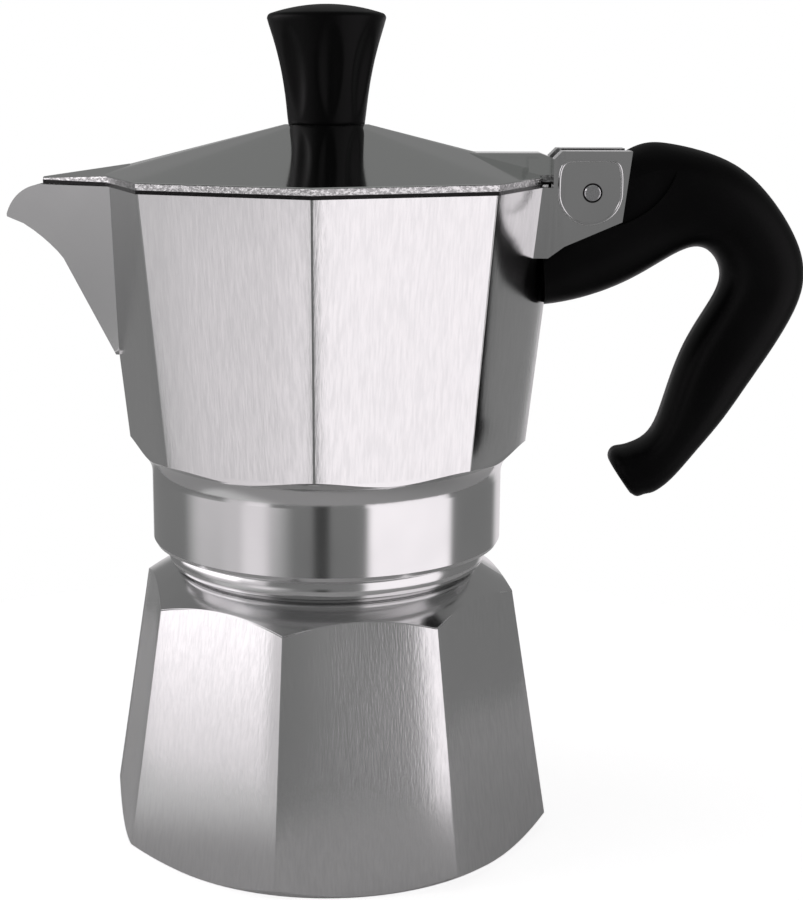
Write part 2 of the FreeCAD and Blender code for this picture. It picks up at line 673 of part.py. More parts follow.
def make_column():
    foot = collector_floor + SEAT_GAP
    shape = turned([
        (0, chamber_top + 0.3),
        (COLUMN_FOOT_RADIUS - PRESSED_CLEARANCE, chamber_top + 0.3),
        (COLUMN_FOOT_RADIUS - PRESSED_CLEARANCE, foot),
        (COLUMN_FLANGE_RADIUS, foot),
        (COLUMN_FLANGE_RADIUS, foot + 1.2),
        (COLUMN_FOOT_RADIUS + 0.2, foot + 2.4),
        (COLUMN_TOP_RADIUS, column_top - 1.6),
        (COLUMN_TOP_RADIUS - 1.4, column_top),
        (0, column_top),
    ])
    bore_top = column_top - 2.2
    bore = disc(COLUMN_BORE_RADIUS, chamber_top - 1, bore_top - chamber_top + 1)
    outlet = box(-20, 20, COLUMN_OUTLET / 2, bore_top - 4.2, bore_top)
    return shape.cut(bore).cut(outlet)


def make_lid():
    top = octagon_loft([
        (lid_radius, lid_seat),
        (lid_radius, LID_RIM_TOP),
        (LID_SEAT_RADIUS, LID_SEAT_HEIGHT),
    ])
    level = [edge for edge in top.Edges if edge.BoundBox.ZLength < 0.01]
    rim = [edge for edge in level if abs(edge.BoundBox.ZMin - LID_RIM_TOP) < 0.01]
    top = top.makeFillet(LID_RIM_ROUND, rim)
    groove_top = LID_GROOVE_HEIGHT + LID_GROOVE
    groove = octagon_loft([(lid_radius + 2, LID_GROOVE_HEIGHT), (lid_radius + 2, groove_top)])
    core = lid_radius - LID_GROOVE
    groove = groove.cut(octagon_loft([(core, LID_GROOVE_HEIGHT - 1), (core, groove_top + 1)]))
    top = top.cut(groove)
    root = lid_radius - 7
    prow_wires = []
    for reach, half, edge, ridge in ((root, PROW_HALF_WIDTH, LID_RIM_TOP, LID_RIM_TOP + 1.8),
                                     (PROW_REACH, 0.9, PROW_TIP_TOP - 0.3, PROW_TIP_TOP)):
        points = [(-half, lid_seat), (half, lid_seat), (half, edge), (0, ridge), (-half, edge)]
        path = [Vector(-reach, y, z) for y, z in points]
        path.append(path[0])
        prow_wires.append(Part.makePolygon(path))
    prow = Part.makeLoft(prow_wires, True, True)
    leaf_half = SLOT_HALF_WIDTH - LEAF_SIDE_CLEARANCE
    leaf = side_prism([
        (LID_TAB_START, lid_seat),
        (LID_TAB_START, LID_TAB_HEIGHT),
        (LID_CUT + 0.4, LID_TAB_HEIGHT),
        (PIN_X + 0.2, PIN_HEIGHT + KNUCKLE_RADIUS),
        (PIN_X, PIN_HEIGHT - KNUCKLE_RADIUS + 0.2),
        (LID_CUT + 4.4, lid_seat + 0.6),
        (LID_CUT, lid_seat),
    ], leaf_half)
    knuckle = across(KNUCKLE_RADIUS, PIN_X, PIN_HEIGHT, leaf_half)
    ledge = LID_CUT - LID_SHOULDER_LENGTH
    shoulder = box(ledge, LID_CUT, LID_SHOULDER_HALF_WIDTH, lid_seat, LID_SHOULDER_HEIGHT)
    notch = box(LID_CUT, lid_radius + 5, BRACKET_HALF_WIDTH + BOSS_HEIGHT + LID_NOTCH_CLEARANCE,
                lid_seat - 1, LID_TAB_HEIGHT + 3)
    shell = top.cut(notch).fuse([prow, leaf, knuckle, shoulder])
    inner_rim = lid_radius - LID_WALL / corner_share - 1.0
    hollow = octagon_loft([
        (inner_rim, lid_seat - 0.1),
        (inner_rim - 0.2, lid_seat + 0.2),
        (LID_SEAT_RADIUS - 2.0, LID_SEAT_HEIGHT - LID_WALL),
    ])
    keep_leaf = box(ledge, lid_radius + 5, leaf_half, lid_seat - 2, LID_TAB_HEIGHT + 3)
    shell = shell.cut(hollow.cut(keep_leaf))
    pin_hole = across(PIN_RADIUS + RUNNING_CLEARANCE, PIN_X, PIN_HEIGHT, 10)
    screw_hole = disc(KNOB_SCREW_RADIUS + 0.2, LID_SEAT_HEIGHT - 10, 20)
    return shell.cut(pin_hole).cut(screw_hole).removeSplitter()


knob_foot = LID_SEAT_HEIGHT + SEAT_GAP


def make_knob():
    rim = KNOB_RIM_RADIUS
    foot = (KNOB_FOOT_RADIUS, knob_foot)
    waist = (KNOB_WAIST_RADIUS, knob_foot + KNOB_WAIST_HEIGHT)
    flare = (rim, knob_foot + KNOB_RIM_HEIGHT - KNOB_EDGE / 2)
    edge_mid = (rim - 0.25, knob_foot + KNOB_RIM_HEIGHT + 0.3)
    edge_top = (rim - KNOB_EDGE, knob_foot + KNOB_RIM_HEIGHT + 0.7 * KNOB_EDGE)
    crown = (0.55 * rim, knob_foot + KNOB_TOP_HEIGHT - 0.5)
    top = (KNOB_TOP_FLAT, knob_foot + KNOB_TOP_HEIGHT)
    centre = (0, knob_foot + KNOB_TOP_HEIGHT)
    edges = [
        line((0, knob_foot), foot),
        arc(foot, waist, flare),
        arc(flare, edge_mid, edge_top),
        arc(edge_top, crown, top),
        line(top, centre),
        line(centre, (0, knob_foot)),
    ]
    body = turned_edges(edges)
    half = KNOB_FLUTE_HALF_LENGTH
    bow = Part.Arc(Vector(0, 0, -half), Vector(KNOB_FLUTE_RADIUS, 0, 0), Vector(0, 0, half)).toShape()
    chord = Part.makeLine(Vector(0, 0, half), Vector(0, 0, -half))
    lens = Part.Face(Part.Wire([bow, chord])).revolve(Vector(0, 0, 0), UP, 360)
    middle_height = knob_foot + 0.52 * KNOB_RIM_HEIGHT
    middle_radius = 8.95 + KNOB_FLUTE_RADIUS - KNOB_FLUTE_DEPTH
    lean = FreeCAD.Rotation(Vector(0, 1, 0), 10.5)
    lens.Placement = FreeCAD.Placement(Vector(middle_radius, 0, middle_height), lean)
    flutes = []
    for k in range(KNOB_FLUTES):
        flute = lens.copy()
        flute.rotate(Vector(0, 0, 0), UP, 360.0 * (k + 0.5) / KNOB_FLUTES)
        flutes.append(flute)
    hole = disc(KNOB_SCREW_RADIUS + PRESSED_CLEARANCE, knob_foot - 1, KNOB_SCREW_GRIP + 1.5)
    return body.cut(flutes).cut(hole)


def make_knob_screw():
    head_top = LID_SEAT_HEIGHT - LID_WALL - SEAT_GAP
    end = knob_foot + KNOB_SCREW_GRIP
    shape = turned([
        (0, head_top - KNOB_SCREW_HEAD),
        (KNOB_SCREW_HEAD_RADIUS - 0.8, head_top - KNOB_SCREW_HEAD),
        (KNOB_SCREW_HEAD_RADIUS, head_top - 0.5 * KNOB_SCREW_HEAD),
        (KNOB_SCREW_HEAD_RADIUS, head_top),
        (KNOB_SCREW_RADIUS, head_top),
        (KNOB_SCREW_RADIUS, end),
        (0, end),
    ])
    driver = head_top - KNOB_SCREW_HEAD
    slot = box(-5, 5, 0.45, driver - 1, driver + 0.8)
    return shape.cut(slot)


def make_hinge_pin():
    half = BRACKET_HALF_WIDTH + BOSS_HEIGHT + PIN_HEAD_PROUD
    pin = across(PIN_RADIUS, PIN_X, PIN_HEIGHT, half)
    return pin.makeChamfer(0.2, [edge for edge in pin.Edges if edge.Closed])


def handle_curve(points):
    curve = Part.BSplineCurve()
    ends = [Vector(x, 0, z) for x, z in points]
    curve.interpolate(ends, Parameters=[float(k) for k in range(len(ends))])
    return curve


def handle_half_section(low, high, half_width):
    centre = (low + high) * 0.5
    reach = (high - low) * 0.5
    points = []
    for k in range(HANDLE_SECTION_STEPS + 1):
        angle = math.pi * k / HANDLE_SECTION_STEPS
        along = math.copysign(abs(math.cos(angle)) ** HANDLE_SQUARENESS, math.cos(angle))
        side = abs(math.sin(angle)) ** HANDLE_SQUARENESS
        points.append(centre + reach * along + Vector(0, half_width * side, 0))
    return points


def make_grip():
    inner = handle_curve([
        HANDLE_NOSE_INNER, HANDLE_NECK_INNER, HANDLE_HEAD_INNER, HANDLE_SHOULDER_INNER,
        HANDLE_CROWN_INNER, HANDLE_BEND_INNER, HANDLE_ELBOW_INNER, HANDLE_PALM_INNER,
        HANDLE_GRIP_INNER, HANDLE_WRIST_INNER, HANDLE_CUFF_INNER, HANDLE_HOOK_INNER, HANDLE_TIP_INNER,
    ])
    outer = handle_curve([
        HANDLE_NOSE_OUTER, HANDLE_NECK_OUTER, HANDLE_HEAD_OUTER, HANDLE_SHOULDER_OUTER,
        HANDLE_CROWN_OUTER, HANDLE_BEND_OUTER, HANDLE_ELBOW_OUTER, HANDLE_PALM_OUTER,
        HANDLE_GRIP_OUTER, HANDLE_WRIST_OUTER, HANDLE_CUFF_OUTER, HANDLE_HOOK_OUTER, HANDLE_TIP_OUTER,
    ])
    last = inner.LastParameter
    spans = []
    for k in range(HANDLE_STATIONS + 1):
        along = last * k / HANDLE_STATIONS
        slim = max(0.0, along - 0.6 * last) / (0.4 * last)
        half_width = HANDLE_HALF_WIDTH + (HANDLE_TIP_HALF_WIDTH - HANDLE_HALF_WIDTH) * slim
        spans.append((inner.value(along), outer.value(along), half_width))
    low, high, half_width = spans[-1]
    chord = (high - low).normalize()
    outwards = Vector(chord.z, 0, -chord.x)
    for degrees in (25, 50, 75):
        angle = math.radians(degrees)
        shift = outwards * (HANDLE_TIP_ROUND * math.sin(angle))
        inset = HANDLE_TIP_ROUND * (1 - math.cos(angle))
        spans.append((low + shift + chord * inset, high + shift - chord * inset, half_width - inset))
    surfaces = []
    for side in (1, -1):
        rows = [handle_half_section(near, far, side * half_width) for near, far, half_width in spans]
        surface = Part.BSplineSurface()
        surface.interpolate(rows)
        surfaces.append(surface)
    start, end = surfaces[0].bounds()[:2]
    faces = [surface.toShape() for surface in surfaces]
    for place in (start, end):
        rim = Part.Wire([surface.uIso(place).toShape() for surface in surfaces])
        faces.append(Part.Face(rim))
    skin = Part.makeShell(faces)
    skin.sewShape()
    grip = Part.Solid(skin.Shells[0])
    if grip.Volume < 0:
        grip.reverse()
    return grip


def web_pockets():
    start, middle, end = [Vector(x, WEB_HALF_WIDTH, z) for x, z in (WEB_START, WEB_MIDDLE, WEB_END)]
    roof = BRACKET_TOP_HEIGHT + 10
    far_top = Vector(end.x, WEB_HALF_WIDTH, roof)
    near_top = Vector(start.x, WEB_HALF_WIDTH, roof)
    edges = [
        Part.Arc(start, middle, end).toShape(),
        Part.makeLine(end, far_top),
        Part.makeLine(far_top, near_top),
        Part.makeLine(near_top, start),
    ]
    pocket = Part.Face(Part.Wire(edges)).extrude(Vector(0, 2 * HANDLE_HALF_WIDTH, 0))
    return [pocket, pocket.mirror(Vector(0, 0, 0), Vector(0, 1, 0))]


def make_handle():
    low, high = COLLAR_TOP_HEIGHT, COLLECTOR_RIM_HEIGHT + 20
    body = octagon_loft([
        (collector_corner(low) + 2 * SLIP_CLEARANCE, low),
        (collector_corner(high) + 2 * SLIP_CLEARANCE, high),
    ])
    seat = side_prism(bracket_outline(2 * SEAT_GAP), 30)
    above = box(BRACKET_HEEL - 8, BRACKET_END, 30, BRACKET_TOP_HEIGHT - EAR_CHAMFER, BRACKET_TOP_HEIGHT + 10)
    shank = disc(HANDLE_SCREW_RADIUS + PRESSED_CLEARANCE, -HANDLE_SCREW_GRIP - 0.6, HANDLE_SCREW_GRIP + 4)
    shank.Placement = screw_frame().multiply(shank.Placement)
    handle = make_grip().cut(body).cut(seat).cut(above).cut(shank)
    for pocket in web_pockets():
        handle = handle.cut(pocket)
    return handle


def make_handle_screw():
    shape = screw_shape(0.0)
    slot = box(-5, 5, 0.4, SLOT_FLOOR - 0.7, SLOT_FLOOR + 1)
    slot.Placement = screw_frame().multiply(slot.Placement)
    return shape.cut(slot)


NODES = {
    "boiler": make_boiler,
    "safety_valve_body": make_valve_body,
    "safety_valve_retainer": make_valve_retainer,
    "safety_valve_plunger": make_valve_plunger,
    "safety_valve_spring": make_valve_spring,
    "funnel": make_funnel,
    "funnel_sieve": make_funnel_sieve,
    "gasket": make_gasket,
    "filter_plate": make_filter_plate,
    "collector": make_collector,
    "coffee_column": make_column,
    "hinge_pin": make_hinge_pin,
    "lid": make_lid,
    "lid_knob": make_knob,
    "knob_screw": make_knob_screw,
    "handle": make_handle,
    "handle_screw": make_handle_screw,
}

os.makedirs("parts", exist_ok=True)
for name, make in NODES.items():
    shape = make()
    if shape.ShapeType == "Compound" and len(shape.Solids) == 1:
        shape = shape.Solids[0]
    limits = shape.BoundBox
    span = [round(limits.XMin, 1), round(limits.XMax, 1), round(limits.ZMin, 1), round(limits.ZMax, 1)]
    print(name, "solids", len(shape.Solids), "valid", shape.isValid(), "volume", round(shape.Volume, 1), span)
    shape.exportStep("parts/" + name + ".step")
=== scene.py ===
"""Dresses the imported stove-top coffee maker with finishes, threads, a studio and a camera."""

import logging
import math
from dataclasses import dataclass, field
from enum import Enum
from typing import Callable, Dict, List, Optional, Sequence, Tuple, Union

import bmesh
import bpy
from mathutils import Matrix, Vector


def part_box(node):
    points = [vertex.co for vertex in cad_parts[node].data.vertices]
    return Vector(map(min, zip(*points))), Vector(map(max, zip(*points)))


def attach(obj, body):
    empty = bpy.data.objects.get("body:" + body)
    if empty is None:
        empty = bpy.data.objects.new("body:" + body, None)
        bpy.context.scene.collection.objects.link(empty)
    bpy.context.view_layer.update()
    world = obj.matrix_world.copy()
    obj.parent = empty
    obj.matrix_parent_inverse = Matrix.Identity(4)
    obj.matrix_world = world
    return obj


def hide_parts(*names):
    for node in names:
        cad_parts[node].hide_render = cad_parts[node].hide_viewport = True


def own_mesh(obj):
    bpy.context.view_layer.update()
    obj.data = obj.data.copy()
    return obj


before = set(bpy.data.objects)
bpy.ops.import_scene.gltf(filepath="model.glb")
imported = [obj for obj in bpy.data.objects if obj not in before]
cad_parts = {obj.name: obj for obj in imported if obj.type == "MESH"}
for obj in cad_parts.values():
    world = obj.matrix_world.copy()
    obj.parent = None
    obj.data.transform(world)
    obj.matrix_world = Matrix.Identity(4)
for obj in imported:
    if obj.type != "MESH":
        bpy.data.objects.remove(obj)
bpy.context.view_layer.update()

MM = 0.001
WELD = 1e-7
LOG = logging.getLogger("coffee_maker")

Colour = Tuple[float, float, float]
Point = Tuple[float, float, float]
Socket = bpy.types.NodeSocket
Feed = Union[float, Sequence[float], Socket]
Mask = Callable[["Graph", Socket], Socket]

WHITE: Colour = (1.0, 1.0, 1.0)
VECTOR = "NodeSocketVector"
NUMBER = "NodeSocketFloat"


class Slot(Enum):
    """The record's material slots, which no new piece here is given."""

    CAST_BODY = "cast_body"
    SPRING_STEEL = "spring_steel"
    BLACK_PLASTIC = "black_plastic"


class Body(Enum):
    """The moving bodies that new pieces ride on."""

    BASE = "base"
    UPPER = "upper"
    COVER = "cover"


class Graph:
    """A node tree with short calls for its nodes and links."""

    def __init__(self, tree: bpy.types.NodeTree) -> None:
        """Takes over an empty node tree.

        Args:
            tree: The tree that the calls add to.
        """
        self.tree = tree

    def add(self, kind: str, **settings: object) -> bpy.types.Node:
        """Adds one node.

        Args:
            kind: The node's type name.
            settings: Properties to set on it.

        Returns:
            The new node.
        """
        node = self.tree.nodes.new(kind)
        for name, value in settings.items():
            setattr(node, name, value)
        return node

    def feed(self, socket: Socket, value: Feed) -> None:
        """Links a socket to another, or sets its value.

        Args:
            socket: The input to fill.
            value: An output socket, a number or a colour.
        """
        if isinstance(value, Socket):
            self.tree.links.new(value, socket)
        else:
            socket.default_value = value

    def combine(self, kind: str, operation: str, first: Feed, second: Feed) -> bpy.types.Node:
        """Adds a node that works on two operands.

        Args:
            kind: The node's type name.
            operation: Blender's name for the operation.
            first: The first operand.
            second: The second operand.

        Returns:
            The new node.
        """
        node = self.add(kind, operation=operation)
        self.feed(node.inputs[0], first)
        self.feed(node.inputs[1], second)
        return node

    def maths(self, operation: str, first: Feed, second: Feed = 0.0) -> Socket:
        """Works on two numbers."""
        return self.combine("ShaderNodeMath", operation, first, second).outputs[0]

    def ramp(self, value: Feed, low: float, high: float, start: Feed = 0.0, end: Feed = 1.0) -> Socket:
        """Maps a value smoothly from one range to another.

        Args:
            value: The value to map.
            low: Where the ramp starts.
            high: Where the ramp ends.
            start: The result up to low.
            end: The result from high.

        Returns:
            The mapped value's socket.
        """
        node = self.add("ShaderNodeMapRange", interpolation_type="SMOOTHSTEP")
        self.feed(node.inputs[0], value)
        for index, number in enumerate((low, high, start, end)):
            self.feed(node.inputs[index + 1], number)
        return node.outputs[0]

    def noise(self, vector: Feed, scale: Feed, detail: float = 2.0, rough: float = 0.5) -> Socket:
        """Adds a Noise texture.

        Args:
            vector: Where it is read.
            scale: Its scale.
            detail: Its octaves.
            rough: How strong the finer octaves are.

        Returns:
            The noise value's socket.
        """
        node = self.add("ShaderNodeTexNoise")
        self.feed(node.inputs["Vector"], vector)
        self.feed(node.inputs["Scale"], scale)
        node.inputs["Detail"].default_value = detail
        node.inputs["Roughness"].default_value = rough
        return node.outputs[0]

    def stretched(self, vector: Feed, scale: Feed) -> Socket:
        """Scales a vector along each axis."""
        return self.combine("ShaderNodeVectorMath", "MULTIPLY", vector, scale).outputs[0]

    def dot(self, first: Feed, second: Feed) -> Socket:
        """Gives the dot product of two vectors."""
        node = self.combine("ShaderNodeVectorMath", "DOT_PRODUCT", first, second)
        return node.outputs["Value"]

    def between(self, share: Feed, first: Feed, second: Feed) -> Socket:
        """Mixes two numbers.

        Args:
            share: How much of the second.
            first: The first number.
            second: The second number.

        Returns:
            The mixed number's socket.
        """
        node = self.add("ShaderNodeMix", data_type="FLOAT")
        for index, value in ((0, share), (2, first), (3, second)):
            self.feed(node.inputs[index], value)
        return node.outputs[0]

    def tinted(self, share: Feed, first: Feed, second: Feed) -> Socket:
        """Mixes two colours.

        Args:
            share: How much of the second.
            first: The first colour.
            second: The second colour.

        Returns:
            The mixed colour's socket.
        """
        node = self.add("ShaderNodeMix", data_type="RGBA")
        for index, value in ((0, share), (6, first), (7, second)):
            self.feed(node.inputs[index], value)
        return node.outputs[2]

    def split(self, vector: Feed) -> List[Socket]:
        """Splits a vector into its three numbers."""
        node = self.add("ShaderNodeSeparateXYZ")
        self.feed(node.inputs[0], vector)
        return [node.outputs[k] for k in range(3)]

    def join(self, x: Feed, y: Feed, z: Feed) -> Socket:
        """Puts three numbers together as a vector."""
        node = self.add("ShaderNodeCombineXYZ")
        for socket, part in zip(node.inputs, (x, y, z)):
            self.feed(socket, part)
        return node.outputs[0]

    def radius(self, x: Feed, y: Feed) -> Socket:
        """Gives the distance from the axis at x and y."""
        squares = self.maths("ADD", self.maths("MULTIPLY", x, x), self.maths("MULTIPLY", y, y))
        return self.maths("SQRT", squares)

    def group(self, tree: bpy.types.NodeTree, **values: Feed) -> bpy.types.Node:
        """Places a node group.

        Args:
            tree: The group's tree.
            values: Its inputs by name.

        Returns:
            The group node.
        """
        node = self.add("ShaderNodeGroup", node_tree=tree)
        for name, value in values.items():
            self.feed(node.inputs[name], value)
        return node


def rgba(colour: Colour) -> Tuple[float, float, float, float]:
    """Gives a colour its alpha."""
    return (colour[0], colour[1], colour[2], 1.0)


class Effect:
    """A shader node group that several finishes share."""

    def __init__(self, name: str, inputs: Dict[str, str], outputs: Sequence[str]) -> None:
        """Makes the empty group with its sockets.

        Args:
            name: The group's name.
            inputs: Its inputs, each with its kind.
            outputs: Its outputs, which are numbers.
        """
        self.tree = bpy.data.node_groups.new(name, "ShaderNodeTree")
        for label, kind in inputs.items():
            self.tree.interface.new_socket(name=label, in_out="INPUT", socket_type=kind)
        for label in outputs:
            self.tree.interface.new_socket(name=label, in_out="OUTPUT", socket_type=NUMBER)
        self.graph = Graph(self.tree)
        self.inputs = self.graph.add("NodeGroupInput").outputs
        self.outputs = self.graph.add("NodeGroupOutput").inputs


class Effects:
    """The shared effects, built once."""

    FINE_STROKE: Point = (1.0, 1.0, 0.05)
    WIDE_STROKE: Point = (1.0, 1.0, 0.06)
    WIDE_SCALE: float = 1500.0
    RING_SPREAD: float = 0.6
    CLOUD_EDGES: Tuple[float, float] = (0.35, 0.68)

    def __init__(self) -> None:
        """Builds each effect."""
        self.brush = self._brush()
        self.rings = self._rings()
        self.clouds = self._clouds()
        self.grain = self._grain()
        self.crown = self._crown()

    def _brush(self) -> bpy.types.NodeTree:
        """Makes upright brush strokes of two widths.

        Returns:
            The group's tree.
        """
        effect = Effect("upright_brush", {"Vector": VECTOR, "Fine": NUMBER}, ("Height", "Streak"))
        graph, place, scale = effect.graph, effect.inputs["Vector"], effect.inputs["Fine"]
        fine = graph.noise(graph.stretched(place, self.FINE_STROKE), scale, 3.0, 0.6)
        wide = graph.noise(graph.stretched(place, self.WIDE_STROKE), self.WIDE_SCALE)
        graph.feed(effect.outputs["Height"], graph.between(0.2, fine, wide))
        graph.feed(effect.outputs["Streak"], graph.between(0.5, fine, wide))
        return effect.tree

    def _rings(self) -> bpy.types.NodeTree:
        """Makes the fine rings that a lathe leaves about the upright axis.

        Returns:
            The group's tree.
        """
        effect = Effect("turned_rings", {"Vector": VECTOR, "Fine": NUMBER}, ("Height",))
        graph = effect.graph
        x, y, z = graph.split(effect.inputs["Vector"])
        unrolled = graph.join(graph.maths("MULTIPLY", graph.radius(x, y), self.RING_SPREAD), 0.0, z)
        graph.feed(effect.outputs["Height"], graph.noise(unrolled, effect.inputs["Fine"], 2.0, 0.6))
        return effect.tree

    def _clouds(self) -> bpy.types.NodeTree:
        """Makes soft patches of handling and uneven polish.

        Returns:
            The group's tree.
        """
        effect = Effect("soft_clouds", {"Vector": VECTOR, "Scale": NUMBER}, ("Mask",))
        graph = effect.graph
        cloud = graph.noise(effect.inputs["Vector"], effect.inputs["Scale"], 3.0, 0.55)
        graph.feed(effect.outputs["Mask"], graph.ramp(cloud, *self.CLOUD_EDGES))
        return effect.tree

    def _grain(self) -> bpy.types.NodeTree:
        """Makes the fine pebble of a moulded or cast skin.

        Returns:
            The group's tree.
        """
        effect = Effect("skin_grain", {"Vector": VECTOR, "Scale": NUMBER}, ("Height",))
        graph = effect.graph
        pebble = graph.noise(effect.inputs["Vector"], effect.inputs["Scale"], 2.0, 0.65)
        graph.feed(effect.outputs["Height"], pebble)
        return effect.tree

    def _crown(self) -> bpy.types.NodeTree:
        """Makes the slight crown that buffing gives each face of an octagon towards its edges.

        Returns:
            The group's tree.
        """
        effect = Effect("buffed_crown", {"Vector": VECTOR, "Turn": NUMBER}, ("Height",))
        graph = effect.graph
        x, y, _ = graph.split(effect.inputs["Vector"])
        eighth = math.pi / 4
        angle = graph.maths("SUBTRACT", graph.maths("ARCTAN2", y, x), effect.inputs["Turn"])
        local = graph.maths("SUBTRACT", graph.maths("FLOORED_MODULO", angle, eighth), eighth / 2)
        share = graph.maths("DIVIDE", graph.maths("TANGENT", local), math.tan(eighth / 2))
        square = graph.maths("MULTIPLY", share, share)
        sixth = graph.maths("MULTIPLY", square, graph.maths("MULTIPLY", square, square))
        graph.feed(effect.outputs["Height"], graph.maths("SUBTRACT", 1.0, sixth))
        return effect.tree


class Surface:
    """A new material with its shader and its object coordinates."""

    def __init__(self, name: str) -> None:
        """Makes the material.

        Args:
            name: The material's name.
        """
        self.material = bpy.data.materials.new(name)
        self.material.use_nodes = True
        self.graph = Graph(self.material.node_tree)
        self.shader = self.material.node_tree.nodes["Principled BSDF"]
        coordinates = self.graph.add("ShaderNodeTexCoord").outputs
        self.place = coordinates["Object"]
        self.facing = coordinates["Normal"]
        self.normal: Optional[Socket] = None

    def set(self, **values: Feed) -> None:
        """Feeds the shader's inputs by name, with spaces written as underscores.

        Args:
            values: The inputs and what feeds them.
        """
        for name, value in values.items():
            self.graph.feed(self.shader.inputs[name.replace("_", " ")], value)

    def lean(self, towards: Socket, share: Feed, least_alike: float, alike: float) -> None:
        """Turns the shading of the faces that nearly face a direction towards it.

        Args:
            towards: The direction, in object space.
            share: How far the shading turns.
            least_alike: The cosine below which a face is left as it is.
            alike: The cosine above which a face is fully turned.
        """
        graph = self.graph
        near = graph.ramp(graph.dot(self.facing, towards), least_alike, alike)
        share = graph.maths("MULTIPLY", near, share)
        turned = graph.add(
            "ShaderNodeVectorTransform", vector_type="NORMAL", convert_from="OBJECT", convert_to="WORLD"
        )
        graph.feed(turned.inputs[0], graph.tinted(share, self.facing, towards))
        self.normal = turned.outputs[0]

    def bump(self, height: Feed, depth: float, strength: Feed = 1.0) -> None:
        """Gives the shader a relief, on top of any given before.

        Args:
            height: The relief's height.
            depth: Its depth in metres.
            strength: How much of it shows.
        """
        node = self.graph.add("ShaderNodeBump")
        node.inputs["Distance"].default_value = depth
        self.graph.feed(node.inputs["Strength"], strength)
        self.graph.feed(node.inputs["Height"], height)
        if self.normal is not None:
            self.graph.feed(node.inputs["Normal"], self.normal)
        self.normal = node.outputs[0]
        self.graph.feed(self.shader.inputs["Normal"], self.normal)


SHOULDER_RADIUS = 37.5 * MM
SHOULDER_HEIGHT = 49.1 * MM
SHOULDER_FALL = 0.613
SHOULDER_EDGE = (-0.25 * MM, -0.05 * MM)
COLLAR_TOP = (77.2 * MM, 77.6 * MM)
BRACKET_START = (44.6 * MM, 45.0 * MM)
SPOUT_FOOT = 94.6 * MM
SPOUT_SPREAD = 0.3115
SPOUT_EDGE = (-0.1 * MM, 0.0)
SPOUT_BACK = (-39.5 * MM, -39.0 * MM)
CORNER_REACH = (6.0 * MM, 9.0 * MM)
CORNER_BACK = (-31.0 * MM, -30.0 * MM)
PIN_CENTRE = (49.9 * MM, 127.2 * MM)
PIN_SHADE_RING = (1.72 * MM, 1.90 * MM)
OUT_OF_REACH = (9.0, 10.0)


def boiler_polish(graph: Graph, place: Socket) -> Socket:
    """Marks the boiler's shoulder and neck.

    Args:
        graph: The material's nodes.
        place: The object coordinates.

    Returns:
        The mask's socket.
    """
    x, y, z = graph.split(place)
    out = graph.maths("SUBTRACT", graph.radius(x, y), SHOULDER_RADIUS)
    fall = graph.maths("MULTIPLY", out, SHOULDER_FALL)
    over = graph.maths("SUBTRACT", graph.maths("ADD", z, fall), SHOULDER_HEIGHT)
    return graph.ramp(over, *SHOULDER_EDGE)


def collar_turning(graph: Graph, place: Socket) -> Socket:
    """Marks the collector's round collar."""
    return graph.ramp(graph.split(place)[2], *COLLAR_TOP, 1.0, 0.0)


def bracket_buffing(graph: Graph, place: Socket) -> Socket:
    """Marks the collector's hinge bracket."""
    return graph.ramp(graph.split(place)[0], *BRACKET_START)


def spout_satin(graph: Graph, place: Socket) -> Socket:
    """Marks the collector's spout.

    Args:
        graph: The material's nodes.
        place: The object coordinates.

    Returns:
        The mask's socket.
    """
    x, y, z = graph.split(place)
    half_width = graph.maths("MULTIPLY", graph.maths("SUBTRACT", z, SPOUT_FOOT), SPOUT_SPREAD)
    inside = graph.maths("SUBTRACT", half_width, graph.maths("ABSOLUTE", y))
    beyond = graph.ramp(x, *SPOUT_BACK, 1.0, 0.0)
    return graph.maths("MULTIPLY", graph.ramp(inside, *SPOUT_EDGE), beyond)


def spout_corner(graph: Graph, place: Socket) -> Socket:
    """Marks the corner that the spout grows from, with a soft edge.

    Args:
        graph: The material's nodes.
        place: The object coordinates.

    Returns:
        The mask's socket.
    """
    x, y, _ = graph.split(place)
    across = graph.ramp(graph.maths("ABSOLUTE", y), *CORNER_REACH, 1.0, 0.0)
    return graph.maths("MULTIPLY", across, graph.ramp(x, *CORNER_BACK, 1.0, 0.0))


def pin_gap_shade(graph: Graph, place: Socket) -> Socket:
    """Marks the narrow gap round the hinge pin's ends, where painted shade darkens the colour.

    Args:
        graph: The material's nodes.
        place: The object coordinates.

    Returns:
        The mask's socket.
    """
    x, _, z = graph.split(place)
    along = graph.maths("SUBTRACT", x, PIN_CENTRE[0])
    above = graph.maths("SUBTRACT", z, PIN_CENTRE[1])
    return graph.ramp(graph.radius(along, above), *PIN_SHADE_RING, 1.0, 0.0)


def unmarked(graph: Graph, place: Socket) -> Socket:
    """Marks nothing."""
    return graph.ramp(graph.split(place)[2], *OUT_OF_REACH)


